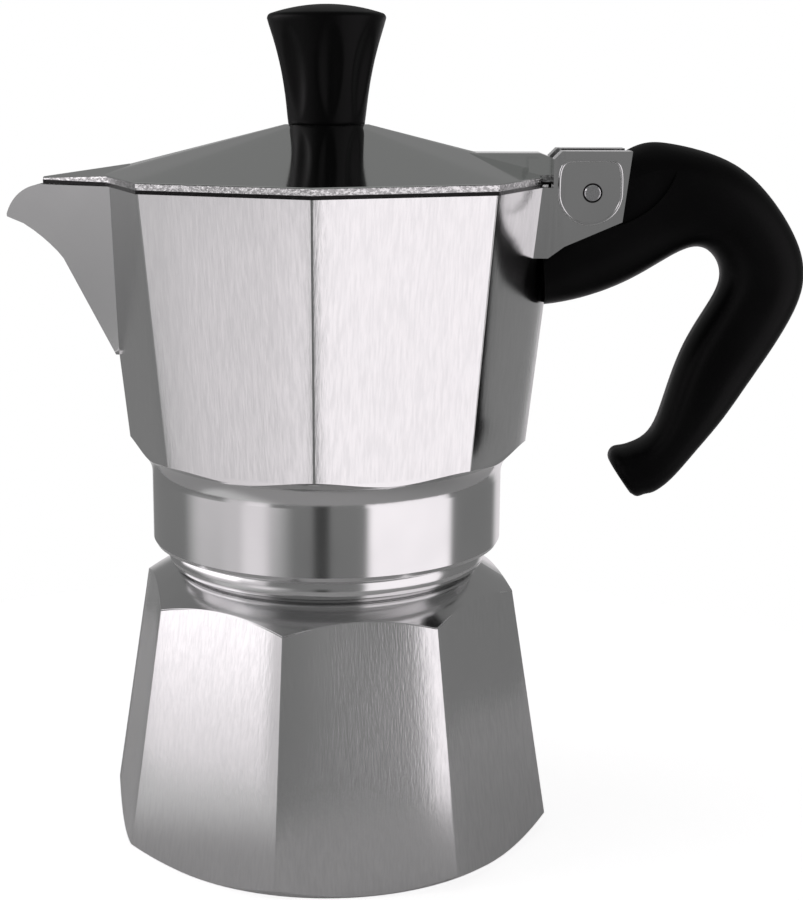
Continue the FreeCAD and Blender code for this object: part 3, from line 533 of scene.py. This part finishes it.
@dataclass(frozen=True)
class SatinCasting:
    """Cast metal with brushed faces, turned and plainly polished parts picked out by masks, and painted
    shade in a marked gap.
    """

    name: str
    colour: Colour
    shade: Colour
    face_roughness: float
    polish_roughness: float
    turn: float
    turned: Mask
    buffed: Mask = unmarked
    satin: Mask = unmarked
    crevice_shade: Mask = unmarked
    uncrowned: Mask = unmarked
    satin_roughness: float = 0.10
    cloud_roughness: float = 0.03
    streak_roughness: Tuple[float, float] = (-0.02, 0.04)
    brush_scale: float = 2700.0
    ring_scale: float = 2600.0
    cloud_scale: float = 34.0
    brush_strength: float = 0.45
    polish_strength: float = 0.03
    ring_strength: float = 0.08
    relief: float = 0.04 * MM
    crown: float = 0.34 * MM
    crevice_shade_colour: Colour = (0.015, 0.015, 0.015)
    flank: Optional[Point] = None
    flank_alike: Tuple[float, float] = (0.70, 0.80)

    def make(self, effects: Effects) -> bpy.types.Material:
        """Builds the material.

        Args:
            effects: The shared effects.

        Returns:
            The material.
        """
        surface = Surface(self.name)
        graph, place = surface.graph, surface.place
        brush = graph.group(effects.brush, Vector=place, Fine=self.brush_scale)
        clouds = graph.group(effects.clouds, Vector=place, Scale=self.cloud_scale)
        rings = graph.group(effects.rings, Vector=place, Fine=self.ring_scale)
        turned = self.turned(graph, place)
        buffed = self.buffed(graph, place)
        satin = self.satin(graph, place)
        smooth = graph.maths("MAXIMUM", graph.maths("MAXIMUM", turned, buffed), satin)
        crown = graph.group(effects.crown, Vector=place, Turn=math.radians(self.turn))
        streak = graph.ramp(brush.outputs["Streak"], 0.3, 0.7, *self.streak_roughness)
        cloud = graph.maths("MULTIPLY", clouds.outputs["Mask"], self.cloud_roughness)
        face = graph.maths("ADD", graph.maths("ADD", streak, cloud), self.face_roughness)
        polish = graph.maths("ADD", cloud, self.polish_roughness)
        polish = graph.maths("ADD", polish, graph.maths("MULTIPLY", satin, self.satin_roughness))
        stroke = graph.ramp(brush.outputs["Streak"], 0.34, 0.66)
        stroke = graph.between(smooth, stroke, clouds.outputs["Mask"])
        colour = graph.tinted(stroke, rgba(self.colour), rgba(self.shade))
        # A dark ring of painted shade goes where the crevice mask marks a gap between parts.
        colour = graph.tinted(self.crevice_shade(graph, place), colour, rgba(self.crevice_shade_colour))
        height = graph.between(turned, brush.outputs["Height"], rings.outputs["Height"])
        surface.set(Metallic=1.0, Base_Color=colour, Roughness=graph.between(smooth, face, polish))
        if self.flank is not None:
            away, aside, up = self.flank
            side = graph.maths("MULTIPLY", graph.maths("SIGN", graph.split(place)[1]), aside)
            surface.lean(graph.join(away, side, up), satin, *self.flank_alike)
        flat = graph.maths("MAXIMUM", smooth, self.uncrowned(graph, place))
        surface.bump(graph.between(flat, crown.outputs["Height"], 1.0), self.crown)
        finer = graph.between(turned, self.polish_strength, self.ring_strength)
        surface.bump(height, self.relief, graph.between(smooth, self.brush_strength, finer))
        return surface.material


@dataclass(frozen=True)
class PolishedLid:
    """Cast metal polished to a soft mirror, with a rougher cast rim and a painted shadow line at the
    rim's foot.
    """

    name: str
    colour: Colour
    rim_colour: Colour
    rim_shade: Colour
    roughness: float
    rim_roughness: float
    cloud_roughness: float = 0.04
    shadow_gap_colour: Colour = (0.012, 0.012, 0.012)
    rim_top: float = 130.15 * MM
    rim_edge: float = 0.1 * MM
    rim_radius: float = 38.0 * MM
    rim_start: float = 0.5 * MM
    shadow_gap_top: float = 128.85 * MM
    shadow_gap_edge: float = 0.06 * MM
    slope: float = math.radians(15.2)
    slope_alike: Tuple[float, float] = (0.985, 0.990)
    cloud_scale: float = 30.0
    grain_scale: float = 1300.0
    grain_stretch: Point = (1.0, 1.0, 1.6)
    brush_scale: float = 1500.0
    brush_stretch: Point = (1.0, 0.12, 30.0)
    rim_grain: float = 8.0
    relief: float = 0.04 * MM
    polish_strength: float = 0.03
    rim_strength: float = 0.35

    def make(self, effects: Effects) -> bpy.types.Material:
        """Builds the material.

        Args:
            effects: The shared effects.

        Returns:
            The material.
        """
        surface = Surface(self.name)
        graph, place = surface.graph, surface.place
        x, y, z = graph.split(place)
        low = graph.ramp(z, self.rim_top - self.rim_edge, self.rim_top + self.rim_edge, 1.0, 0.0)
        out = graph.ramp(graph.radius(x, y), self.rim_radius, self.rim_radius + self.rim_start)
        clouds = graph.group(effects.clouds, Vector=place, Scale=self.cloud_scale)
        pebbled = graph.stretched(place, self.grain_stretch)
        grain = graph.group(effects.grain, Vector=pebbled, Scale=self.grain_scale)
        stroked = graph.stretched(place, self.brush_stretch)
        brush = graph.group(effects.brush, Vector=stroked, Fine=self.brush_scale)
        cloud = graph.maths("MULTIPLY", clouds.outputs["Mask"], self.cloud_roughness)
        steep = graph.maths("ABSOLUTE", graph.split(surface.facing)[2])
        upright = graph.maths("MULTIPLY", out, graph.ramp(steep, 0.3, 0.6, 1.0, 0.0))
        rim = graph.maths("MULTIPLY", low, upright)
        # A thin dark band at the foot of the upright rim is painted shadow, for the gap where the lid
        # sits on the collector.
        below = graph.ramp(z, self.shadow_gap_top - self.shadow_gap_edge, self.shadow_gap_top + self.shadow_gap_edge, 1.0, 0.0)
        shadow_gap = graph.maths("MULTIPLY", upright, below)
        specks = graph.ramp(grain.outputs["Height"], 0.42, 0.62)
        cast = graph.tinted(specks, rgba(self.rim_shade), rgba(self.rim_colour))
        colour = graph.tinted(rim, rgba(self.colour), cast)
        colour = graph.tinted(shadow_gap, colour, rgba(self.shadow_gap_colour))
        plain = graph.maths("ADD", cloud, self.roughness)
        rough = graph.between(rim, plain, self.rim_roughness)
        surface.set(Metallic=1.0, Base_Color=colour, Roughness=rough)
        angle = graph.maths("ARCTAN2", y, x)
        along = graph.maths("MULTIPLY", graph.maths("COSINE", angle), math.sin(self.slope))
        across = graph.maths("MULTIPLY", graph.maths("SINE", angle), math.sin(self.slope))
        crown = graph.group(effects.crown, Vector=place, Turn=0.0)
        edge = graph.maths("POWER", graph.maths("SUBTRACT", 1.0, crown.outputs["Height"]), 0.5)
        surface.lean(graph.join(along, across, math.cos(self.slope)), edge, *self.slope_alike)
        cast_skin = graph.maths("MULTIPLY", grain.outputs["Height"], self.rim_grain)
        height = graph.between(rim, brush.outputs["Height"], cast_skin)
        strength = graph.between(rim, self.polish_strength, self.rim_strength)
        surface.bump(height, self.relief, strength)
        return surface.material


@dataclass(frozen=True)
class PlainMetal:
    """Turned, spun or drawn metal with fine rings and soft clouds."""

    name: str
    colour: Colour
    roughness: float
    ring_scale: float = 3200.0
    ring_depth: float = 0.03 * MM
    ring_strength: float = 0.4
    cloud_scale: float = 90.0
    cloud_roughness: float = 0.10
    cloud_shade: float = 0.86

    def make(self, effects: Effects) -> bpy.types.Material:
        """Builds the material.

        Args:
            effects: The shared effects.

        Returns:
            The material.
        """
        surface = Surface(self.name)
        graph, place = surface.graph, surface.place
        rings = graph.group(effects.rings, Vector=place, Fine=self.ring_scale)
        clouds = graph.group(effects.clouds, Vector=place, Scale=self.cloud_scale)
        darker = tuple(self.cloud_shade * part for part in self.colour)
        colour = graph.tinted(clouds.outputs["Mask"], rgba(self.colour), rgba(darker))
        cloud = graph.maths("MULTIPLY", clouds.outputs["Mask"], self.cloud_roughness)
        rough = graph.maths("ADD", cloud, self.roughness)
        surface.set(Metallic=1.0, Base_Color=colour, Roughness=rough)
        surface.bump(rings.outputs["Height"], self.ring_depth, self.ring_strength)
        return surface.material


@dataclass(frozen=True)
class MouldedSkin:
    """Moulded plastic or rubber with a fine pebbled skin."""

    name: str
    colour: Colour
    rubbed: Colour
    roughness: float
    grain_scale: float
    grain_depth: float
    gloss: float = 0.5
    grain_strength: float = 0.5
    cloud_scale: float = 70.0
    cloud_roughness: float = 0.08

    def make(self, effects: Effects) -> bpy.types.Material:
        """Builds the material.

        Args:
            effects: The shared effects.

        Returns:
            The material.
        """
        surface = Surface(self.name)
        graph, place = surface.graph, surface.place
        grain = graph.group(effects.grain, Vector=place, Scale=self.grain_scale)
        clouds = graph.group(effects.clouds, Vector=place, Scale=self.cloud_scale)
        colour = graph.tinted(clouds.outputs["Mask"], rgba(self.colour), rgba(self.rubbed))
        cloud = graph.maths("MULTIPLY", clouds.outputs["Mask"], self.cloud_roughness)
        rough = graph.maths("ADD", cloud, self.roughness)
        surface.set(Base_Color=colour, Roughness=rough, Specular_IOR_Level=self.gloss)
        surface.bump(grain.outputs["Height"], self.grain_depth, self.grain_strength)
        return surface.material


class Finishes:
    """Every finish of the coffee maker, made once."""

    def __init__(self) -> None:
        """Makes the materials."""
        effects = Effects()
        metal = (0.70, 0.70, 0.70)
        shade = (0.645, 0.646, 0.648)
        self.boiler = SatinCasting(
            "brushed_boiler",
            metal,
            shade,
            face_roughness=0.14,
            polish_roughness=0.13,
            turn=-9.0,
            turned=boiler_polish,
        ).make(effects)
        self.collector = SatinCasting(
            "brushed_collector",
            metal,
            shade,
            face_roughness=0.14,
            polish_roughness=0.11,
            turn=0.0,
            turned=collar_turning,
            buffed=bracket_buffing,
            satin=spout_satin,
            crevice_shade=pin_gap_shade,
            uncrowned=spout_corner,
            flank=(-0.378, 0.887, -0.268),
        ).make(effects)
        self.lid = PolishedLid(
            "polished_lid",
            colour=(0.67, 0.685, 0.672),
            rim_colour=(0.66, 0.66, 0.66),
            rim_shade=(0.32, 0.32, 0.32),
            roughness=0.06,
            rim_roughness=0.24,
        ).make(effects)
        self.sheet = PlainMetal("spun_aluminium", (0.82, 0.82, 0.83), 0.30).make(effects)
        self.brass = PlainMetal("machined_brass", (0.78, 0.60, 0.30), 0.24).make(effects)
        self.steel = PlainMetal("drawn_steel", (0.62, 0.62, 0.63), 0.22).make(effects)
        self.seal = MouldedSkin(
            "silicone_seal",
            colour=(0.80, 0.79, 0.75),
            rubbed=(0.72, 0.71, 0.66),
            roughness=0.5,
            grain_scale=900.0,
            grain_depth=0.05 * MM,
        ).make(effects)
        self.plastic = MouldedSkin(
            "black_moulding",
            colour=(0.002, 0.002, 0.0021),
            rubbed=(0.0032, 0.0032, 0.0033),
            roughness=0.36,
            grain_scale=1500.0,
            grain_depth=0.03 * MM,
            gloss=0.08,
        ).make(effects)


def dress(node: str, material: bpy.types.Material) -> None:
    """Puts a finish on a carried node.

    Args:
        node: The node's name.
        material: Its finish.
    """
    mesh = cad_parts[node].data
    mesh.materials.clear()
    mesh.materials.append(material)
    LOG.info("dressed %s in %s", node, material.name)


def settle(
    name: str,
    shape: bmesh.types.BMesh,
    material: bpy.types.Material,
    body: Body,
) -> bpy.types.Object:
    """Turns a finished bmesh into a piece that rides on a body.

    Args:
        name: The piece's name.
        shape: Its mesh, which is freed.
        material: Its finish.
        body: The body that it rides on.

    Returns:
        The piece's object.
    """
    bmesh.ops.remove_doubles(shape, verts=shape.verts, dist=WELD)
    bmesh.ops.recalc_face_normals(shape, faces=shape.faces)
    for face in shape.faces:
        face.smooth = True
    mesh = bpy.data.meshes.new(name)
    shape.to_mesh(mesh)
    shape.free()
    mesh.materials.append(material)
    piece = bpy.data.objects.new(name, mesh)
    bpy.context.scene.collection.objects.link(piece)
    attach(piece, body.value)
    LOG.info("made %s with %d faces on %s", name, len(mesh.polygons), body.value)
    return piece


def spin_round(shape: bmesh.types.BMesh, steps: int) -> None:
    """Spins an outline all the way round the upright axis.

    Args:
        shape: The outline's mesh.
        steps: How many steps go round.
    """
    bmesh.ops.spin(
        shape,
        geom=[*shape.verts, *shape.edges],
        cent=(0.0, 0.0, 0.0),
        axis=(0.0, 0.0, 1.0),
        angle=2.0 * math.pi,
        steps=steps,
        use_merge=True,
    )


@dataclass
class ScrewThread:
    """The mating threads of the boiler's neck and the collar."""

    neck_radius: float = 30.15 * MM
    bore_radius: float = 31.35 * MM
    depth: float = 0.42 * MM
    pitch: float = 3.0 * MM
    root_share: float = 0.42
    crest_share: float = 0.12
    neck_start: float = 60.3 * MM
    neck_turns: float = 1.8
    collar_start: float = 59.9 * MM
    collar_turns: float = 2.4
    steps_per_turn: int = 72

    def ridge(self, root: float, crest: float, start: float, turns: float) -> bmesh.types.BMesh:
        """Sweeps a rounded ridge along a helix.

        Args:
            root: The radius that the ridge grows from.
            crest: The radius of its crest.
            start: The height where it begins.
            turns: How many turns it makes.

        Returns:
            The ridge's mesh.
        """
        shape = bmesh.new()
        foot, flat = self.root_share * self.pitch, self.crest_share * self.pitch
        rises = (-foot, -flat, flat, foot)
        reaches = (root, crest, crest, root)
        points = [(reach, 0.0, start + rise) for reach, rise in zip(reaches, rises)]
        profile = shape.faces.new([shape.verts.new(point) for point in points])
        steps = int(self.steps_per_turn * turns)
        bmesh.ops.spin(
            shape,
            geom=[profile, *profile.edges, *profile.verts],
            cent=(0.0, 0.0, 0.0),
            axis=(0.0, 0.0, 1.0),
            dvec=(0.0, 0.0, turns * self.pitch / steps),
            angle=2.0 * math.pi * turns,
            steps=steps,
            use_merge=False,
        )
        return shape

    def build(self, finishes: Finishes) -> None:
        """Makes both threads.

        Args:
            finishes: The finishes.
        """
        crest = self.neck_radius + self.depth
        neck = self.ridge(self.neck_radius, crest, self.neck_start, self.neck_turns)
        settle("boiler_thread", neck, finishes.boiler, Body.BASE)
        crest = self.bore_radius - self.depth
        bore = self.ridge(self.bore_radius, crest, self.collar_start, self.collar_turns)
        settle("collar_thread", bore, finishes.collector, Body.UPPER)


@dataclass
class BoilerAssembly:
    """The boiler with its safety valve and the bead round its neck."""

    valve_nodes: Tuple[str, ...] = (
        "safety_valve_body",
        "safety_valve_retainer",
        "safety_valve_plunger",
    )
    valve_axis: Vector = field(
        default_factory=lambda: Vector((-0.2309, 0.9616, 0.1487)).normalized()
    )
    valve_travel: float = 1.2 * MM
    bead_ring: float = 30.65 * MM
    bead_reach: float = 0.85 * MM
    bead_half_width: float = 1.9 * MM
    bead_height: float = 56.1 * MM
    bead_sides: int = 48
    bead_steps: int = 144

    def spring(self, finishes: Finishes) -> None:
        """Puts in a copy of the valve's spring in place of the carried one.

        Args:
            finishes: The finishes.
        """
        shape = bmesh.new()
        shape.from_mesh(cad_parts["safety_valve_spring"].data)
        along = [vert.co.dot(self.valve_axis) for vert in shape.verts]
        coil = settle("valve_spring_coil", shape, finishes.steel, Body.BASE)
        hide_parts("safety_valve_spring")
        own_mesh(coil)

    def bead(self) -> bmesh.types.BMesh:
        """Spins the flattened bead under the collar.

        Returns:
            The bead's mesh.
        """
        shape = bmesh.new()
        upright = Matrix.Rotation(math.pi / 2, 4, "X")
        place = Matrix.Translation((self.bead_ring, 0.0, self.bead_height)) @ upright
        oval = Matrix.Diagonal((self.bead_reach, self.bead_half_width, 1.0, 1.0))
        bmesh.ops.create_circle(shape, segments=self.bead_sides, radius=1.0, matrix=place @ oval)
        spin_round(shape, self.bead_steps)
        return shape

    def build(self, finishes: Finishes) -> None:
        """Dresses the boiler and its valve.

        Args:
            finishes: The finishes.
        """
        dress("boiler", finishes.boiler)
        for node in self.valve_nodes:
            dress(node, finishes.brass)
        dress("safety_valve_spring", finishes.steel)
        self.spring(finishes)
        settle("neck_bead", self.bead(), finishes.boiler, Body.BASE)


@dataclass
class FilterAssembly:
    """The funnel, its sieve, the sealing ring and the filter plate."""

    sheet_nodes: Tuple[str, ...] = ("funnel", "funnel_sieve", "filter_plate", "coffee_column")

    def build(self, finishes: Finishes) -> None:
        """Dresses the filter's pieces.

        Args:
            finishes: The finishes.
        """
        for node in self.sheet_nodes:
            dress(node, finishes.sheet)
        dress("gasket", finishes.seal)


@dataclass
class CollectorAssembly:
    """The collector with its hinge pin and handle, and the raised lines round the pin's bosses."""

    boss_radius: float = 6.0 * MM
    boss_rise: float = 6.2 * MM
    boss_centre: Tuple[float, float] = (49.5 * MM, 127.2 * MM)
    boss_face: float = 9.80 * MM
    boss_sides: int = 72
    boss_flatness: float = 0.35
    boss_fullness: float = 0.5
    line_width: float = 0.5 * MM
    line_height: float = 0.30 * MM
    line_bevel: float = 0.2 * MM
    line_segments: int = 3
    crest_angle: float = 1.0

    def boss_line(self, side: float) -> bmesh.types.BMesh:
        """Raises the line that runs round one boss.

        Args:
            side: -1 for the front cheek, 1 for the back one.

        Returns:
            The line's mesh.
        """
        shape = bmesh.new()
        bmesh.ops.create_circle(
            shape, cap_ends=True, segments=self.boss_sides, radius=self.boss_radius
        )
        for vert in shape.verts:
            if vert.co.y > 0.0:
                across, up = vert.co.x / self.boss_radius, vert.co.y / self.boss_radius
                squared = math.copysign(abs(across) ** self.boss_flatness, across)
                vert.co.x = squared * self.boss_radius
                vert.co.y = up ** self.boss_fullness * self.boss_rise
        inner = list(shape.faces)
        bmesh.ops.inset_individual(shape, faces=inner, thickness=self.line_width)
        bmesh.ops.delete(shape, geom=inner, context="FACES_ONLY")
        raised = bmesh.ops.extrude_face_region(shape, geom=list(shape.faces))["geom"]
        top = [item for item in raised if isinstance(item, bmesh.types.BMVert)]
        bmesh.ops.translate(shape, vec=(0.0, 0.0, self.line_height), verts=top)
        crest = [edge for edge in shape.edges if all(vert in top for vert in edge.verts)]
        crest = [edge for edge in crest if len(edge.link_faces) == 2]
        crest = [edge for edge in crest if edge.calc_face_angle(0.0) > self.crest_angle]
        bmesh.ops.bevel(
            shape,
            geom=crest,
            offset=self.line_bevel,
            segments=self.line_segments,
            profile=0.5,
            affect="EDGES",
            material=-1,
            clamp_overlap=True,
        )
        turn = Matrix.Diagonal((1.0, -side, 1.0, 1.0)) @ Matrix.Rotation(math.pi / 2, 4, "X")
        bmesh.ops.transform(shape, matrix=turn, verts=shape.verts)
        across, up = self.boss_centre
        bmesh.ops.translate(shape, vec=(across, side * self.boss_face, up), verts=shape.verts)
        return shape

    def build(self, finishes: Finishes) -> None:
        """Dresses the collector, pin, handle and screw.

        Args:
            finishes: The finishes.
        """
        dress("collector", finishes.collector)
        dress("hinge_pin", finishes.steel)
        dress("handle", finishes.plastic)
        dress("handle_screw", finishes.steel)
        for name, side in (("boss_line_front", -1.0), ("boss_line_back", 1.0)):
            settle(name, self.boss_line(side), finishes.collector, Body.UPPER)


@dataclass
class LidAssembly:
    """The lid with its fluted knob."""

    knob_foot: float = 7.3 * MM
    knob_rim: float = 11.25 * MM
    knob_rim_height: float = 19.6 * MM
    knob_corner: float = 1.0 * MM
    knob_swell: float = 0.1214
    flutes: int = 8
    flute_phase: float = math.radians(7.0)
    flute_reach: float = math.radians(18.0)
    flute_middle: float = 10.0 * MM
    flute_half_length: float = 8.6 * MM
    flute_depth: float = 0.8 * MM
    flute_foot: float = 0.9
    knob_steps: int = 144
    flare_steps: int = 28
    corner_steps: int = 7
    corner_step: float = 10.0
    crown_steps: int = 12

    def knob_outline(self, height: float) -> List[Tuple[float, float]]:
        """Lists the knob's half outline from its foot to its crown.

        Args:
            height: The knob's height.

        Returns:
            Radius and height of each point.
        """
        widening = self.knob_rim - self.knob_foot - self.knob_swell * self.knob_rim_height
        bend = widening / self.knob_rim_height ** 2
        points = [(0.0, 0.0)]
        for step in range(self.flare_steps + 1):
            rise = self.knob_rim_height * step / self.flare_steps
            points.append((self.knob_foot + self.knob_swell * rise + bend * rise * rise, rise))
        for step in range(1, self.corner_steps + 1):
            angle = math.radians(self.corner_step * step)
            reach = self.knob_rim - self.knob_corner * (1.0 - math.cos(angle))
            points.append((reach, self.knob_rim_height + self.knob_corner * math.sin(angle)))
        edge, low = points[-1]
        for step in range(1, self.crown_steps + 1):
            share = 1.0 - step / self.crown_steps
            points.append((edge * share, height - (height - low) * share * share))
        return points

    def knob(self) -> bmesh.types.BMesh:
        """Spins the knob and presses its flutes in.

        Returns:
            The knob's mesh.
        """
        low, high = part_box("lid_knob")
        shape = bmesh.new()
        outline = self.knob_outline(high[2] - low[2])
        verts = [shape.verts.new((reach, 0.0, low[2] + rise)) for reach, rise in outline]
        for pair in zip(verts, verts[1:]):
            shape.edges.new(pair)
        spin_round(shape, self.knob_steps)
        pitch = 2.0 * math.pi / self.flutes
        for vert in shape.verts:
            along = (vert.co.z - low[2] - self.flute_middle) / self.flute_half_length
            reach = math.hypot(vert.co.x, vert.co.y)
            if abs(along) >= 1.0 or reach < self.knob_foot * self.flute_foot:
                continue
            turn = math.atan2(vert.co.y, vert.co.x) - self.flute_phase
            off = (turn + pitch / 2) % pitch - pitch / 2
            off /= self.flute_reach * math.sqrt(1.0 - along * along)
            if abs(off) < 1.0:
                depth = self.flute_depth * (1.0 - along * along) * (1.0 - off * off) ** 2
                scale = 1.0 - depth / reach
                vert.co.x *= scale
                vert.co.y *= scale
        return shape

    def build(self, finishes: Finishes) -> None:
        """Dresses the lid, knob and screw.

        Args:
            finishes: The finishes.
        """
        dress("lid", finishes.lid)
        dress("lid_knob", finishes.plastic)
        knob = settle("fluted_knob", self.knob(), finishes.plastic, Body.COVER)
        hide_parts("lid_knob")
        dress("knob_screw", finishes.steel)


@dataclass(frozen=True)
class Panel:
    """A soft upright patch of the studio's surroundings, lighter or darker than the rest."""

    azimuth: float
    half_width: float
    softness: float
    lowest: float
    highest: float
    change: float
    fade: float = 0.10

    def share(self, graph: Graph, level: Socket, height: Socket) -> Socket:
        """Gives how much the patch adds in each direction.

        Args:
            graph: The world's nodes.
            level: The direction, laid flat and of length one.
            height: The direction's upward part.

        Returns:
            The change's socket.
        """
        turn = math.radians(self.azimuth)
        alike = graph.dot(level, (math.cos(turn), math.sin(turn), 0.0))
        inner = math.cos(math.radians(max(self.half_width - self.softness, 0.0)))
        outer = math.cos(math.radians(self.half_width + self.softness))
        across = graph.ramp(alike, outer, inner, 0.0, self.change)
        low, high = math.sin(math.radians(self.lowest)), math.sin(math.radians(self.highest))
        above = graph.ramp(height, low - self.fade, low + self.fade)
        below = graph.ramp(height, high - self.fade, high + self.fade, 1.0, 0.0)
        return graph.maths("MULTIPLY", across, graph.maths("MULTIPLY", above, below))


@dataclass
class Studio:
    """The floor, the surroundings, the lamps and the camera."""

    image_size: Tuple[int, int] = (803, 900)
    focal_pixels: float = 1726.6
    centre_pixel: Tuple[float, float] = (326.57, 444.72)
    target: Point = (0.0, 0.0, 76.85 * MM)
    distance: float = 342.59 * MM
    azimuth: float = 3.218
    elevation: float = 12.069
    sensor: float = 36.0
    clip: Tuple[float, float] = (0.01, 50.0)
    ambient: float = 0.226
    darkest: float = 0.02
    overhead: float = -0.10
    overhead_start: Tuple[float, float] = (0.6, 0.95)
    window_tint: Colour = (1.0, 0.955, 0.985)
    window_level: Tuple[float, float] = (0.1, 0.7)
    paper: Colour = (0.82, 0.82, 0.82)
    paper_roughness: float = 0.9
    floor_radius: float = 0.17
    floor_sides: int = 96
    floor_seen: float = 0.76
    floor_mirrored: float = 0.03
    # The floor's glow patch is painted light, seen only in reflections.
    floor_glow_patch: float = 0.30
    floor_glow_patch_left: Tuple[float, float] = (-0.11, -0.05)
    floor_glow_patch_front: Tuple[float, float] = (-0.04, -0.01)
    panels: Tuple[Panel, ...] = (
        Panel(-181.0, 30.0, 2.0, -7.0, 30.0, 1.70),
        Panel(-140.0, 10.5, 2.0, -7.0, 30.0, 0.66),
        Panel(-150.0, 34.0, 10.0, -19.0, -9.0, 0.52),
        Panel(-141.0, 16.0, 4.0, -29.5, -19.0, 0.52),
        Panel(-134.0, 7.0, 5.0, -40.0, -12.0, 0.34),
        Panel(-29.3, 30.5, 3.0, -40.0, 30.0, 1.09),
        Panel(-90.0, 4.0, 3.0, -40.0, -9.0, -0.17),
        Panel(82.0, 22.0, 8.0, -35.0, 3.0, 0.60),
    )

    def camera(self) -> None:
        """Places the camera where the photograph was taken from."""
        turn, rise = math.radians(self.azimuth), math.radians(self.elevation)
        reach = math.cos(rise)
        back = Vector((math.sin(turn) * reach, -math.cos(turn) * reach, math.sin(rise)))
        data = bpy.data.cameras.new("camera")
        width, height = self.image_size
        longest = max(width, height)
        data.sensor_fit = "AUTO"
        data.sensor_width = self.sensor
        data.lens = self.focal_pixels / longest * data.sensor_width
        data.shift_x = (width / 2 - self.centre_pixel[0]) / longest
        data.shift_y = -(height / 2 - self.centre_pixel[1]) / longest
        data.clip_start, data.clip_end = self.clip
        camera = bpy.data.objects.new("camera", data)
        camera.location = Vector(self.target) + back * self.distance
        camera.rotation_euler = (-back).to_track_quat("-Z", "Y").to_euler()
        bpy.context.scene.collection.objects.link(camera)
        bpy.context.scene.camera = camera

    def surroundings(self) -> None:
        """Lights the scene from all round, with softly lighter and darker patches."""
        world = bpy.data.worlds.new("studio")
        world.use_nodes = True
        graph = Graph(world.node_tree)
        background = world.node_tree.nodes["Background"]
        way = graph.add("ShaderNodeTexCoord").outputs["Generated"]
        height = graph.split(way)[2]
        flat = graph.add("ShaderNodeVectorMath", operation="NORMALIZE")
        graph.feed(flat.inputs[0], graph.stretched(way, (1.0, 1.0, 0.0)))
        level = graph.ramp(height, *self.overhead_start, self.ambient, self.ambient + self.overhead)
        for panel in self.panels:
            level = graph.maths("ADD", level, panel.share(graph, flat.outputs["Vector"], height))
        level = graph.maths("MAXIMUM", level, self.darkest)
        seen = graph.add("ShaderNodeLightPath").outputs["Is Camera Ray"]
        graph.feed(background.inputs["Strength"], graph.between(seen, level, 1.0))
        lit = graph.ramp(level, *(self.ambient + part for part in self.window_level))
        tint = graph.tinted(lit, rgba(WHITE), rgba(self.window_tint))
        graph.feed(background.inputs["Color"], graph.tinted(seen, tint, rgba(WHITE)))
        bpy.context.scene.world = world

    def floor(self) -> None:
        """Lays a round white floor that keeps the pot's shadow, with a patch that glows as painted
        light seen only in reflections.
        """
        shape = bmesh.new()
        bmesh.ops.create_circle(
            shape, cap_ends=True, segments=self.floor_sides, radius=self.floor_radius
        )
        mesh = bpy.data.meshes.new("floor")
        shape.to_mesh(mesh)
        shape.free()
        material = bpy.data.materials.new("white_paper")
        material.use_nodes = True
        tree = material.node_tree
        graph = Graph(tree)
        shader = tree.nodes["Principled BSDF"]
        shader.inputs["Base Color"].default_value = rgba(self.paper)
        shader.inputs["Roughness"].default_value = self.paper_roughness
        shader.inputs["Specular IOR Level"].default_value = 0.0
        path = graph.add("ShaderNodeLightPath").outputs
        mirrored = graph.maths("ADD", path["Is Glossy Ray"], path["Is Transmission Ray"])
        mirrored = graph.maths("MULTIPLY", mirrored, self.floor_mirrored)
        x, y, _ = graph.split(graph.add("ShaderNodeTexCoord").outputs["Object"])
        # A patch of floor in front of and to the left of the pot glows in reflections only, a painted
        # reflection of light that no lamp gives.
        glow_patch = graph.ramp(x, *self.floor_glow_patch_left, self.floor_glow_patch, 0.0)
        glow_patch = graph.maths("MULTIPLY", glow_patch, graph.ramp(y, *self.floor_glow_patch_front, 1.0, 0.0))
        glow_patch = graph.maths("MULTIPLY", path["Is Glossy Ray"], glow_patch)
        mirrored = graph.maths("ADD", mirrored, glow_patch)
        seen = graph.maths("MULTIPLY", path["Is Camera Ray"], self.floor_seen)
        graph.feed(shader.inputs["Emission Strength"], graph.maths("ADD", seen, mirrored))
        shader.inputs["Emission Color"].default_value = rgba(WHITE)
        mesh.materials.append(material)
        floor = bpy.data.objects.new("floor", mesh)
        bpy.context.scene.collection.objects.link(floor)

    def lamp(self, name: str, place: Point, aim: Point, size: float, power: float) -> None:
        """Adds one soft lamp.

        Args:
            name: The lamp's name.
            place: Where it stands.
            aim: What it points at.
            size: The side of its square face.
            power: Its power in watts.
        """
        data = bpy.data.lights.new(name, "AREA")
        data.shape = "SQUARE"
        data.size = size
        data.energy = power
        lamp = bpy.data.objects.new(name, data)
        lamp.location = place
        lamp.rotation_euler = (Vector(aim) - Vector(place)).to_track_quat("-Z", "Y").to_euler()
        bpy.context.scene.collection.objects.link(lamp)

    def build(self) -> None:
        """Sets up the whole studio."""
        self.camera()
        self.surroundings()
        self.floor()
        self.lamp("overhead_softbox", (0.0, 0.10, 0.80), aim=(0.0, 0.0, 0.08), size=0.8, power=0.4)
        self.lamp("left_softbox", (-0.75, -0.40, 0.35), aim=(0.0, 0.0, 0.07), size=0.45, power=0.3)
        bpy.context.scene.view_settings.view_transform = "Standard"


def main() -> None:
    """Builds the sub-assemblies in order."""
    logging.basicConfig(level=logging.INFO, format="%(name)s: %(message)s")
    finishes = Finishes()
    assemblies = (BoilerAssembly, FilterAssembly, CollectorAssembly, LidAssembly, ScrewThread)
    for assembly in assemblies:
        assembly().build(finishes)
    Studio().build()


if __name__ == "__main__":
    main()
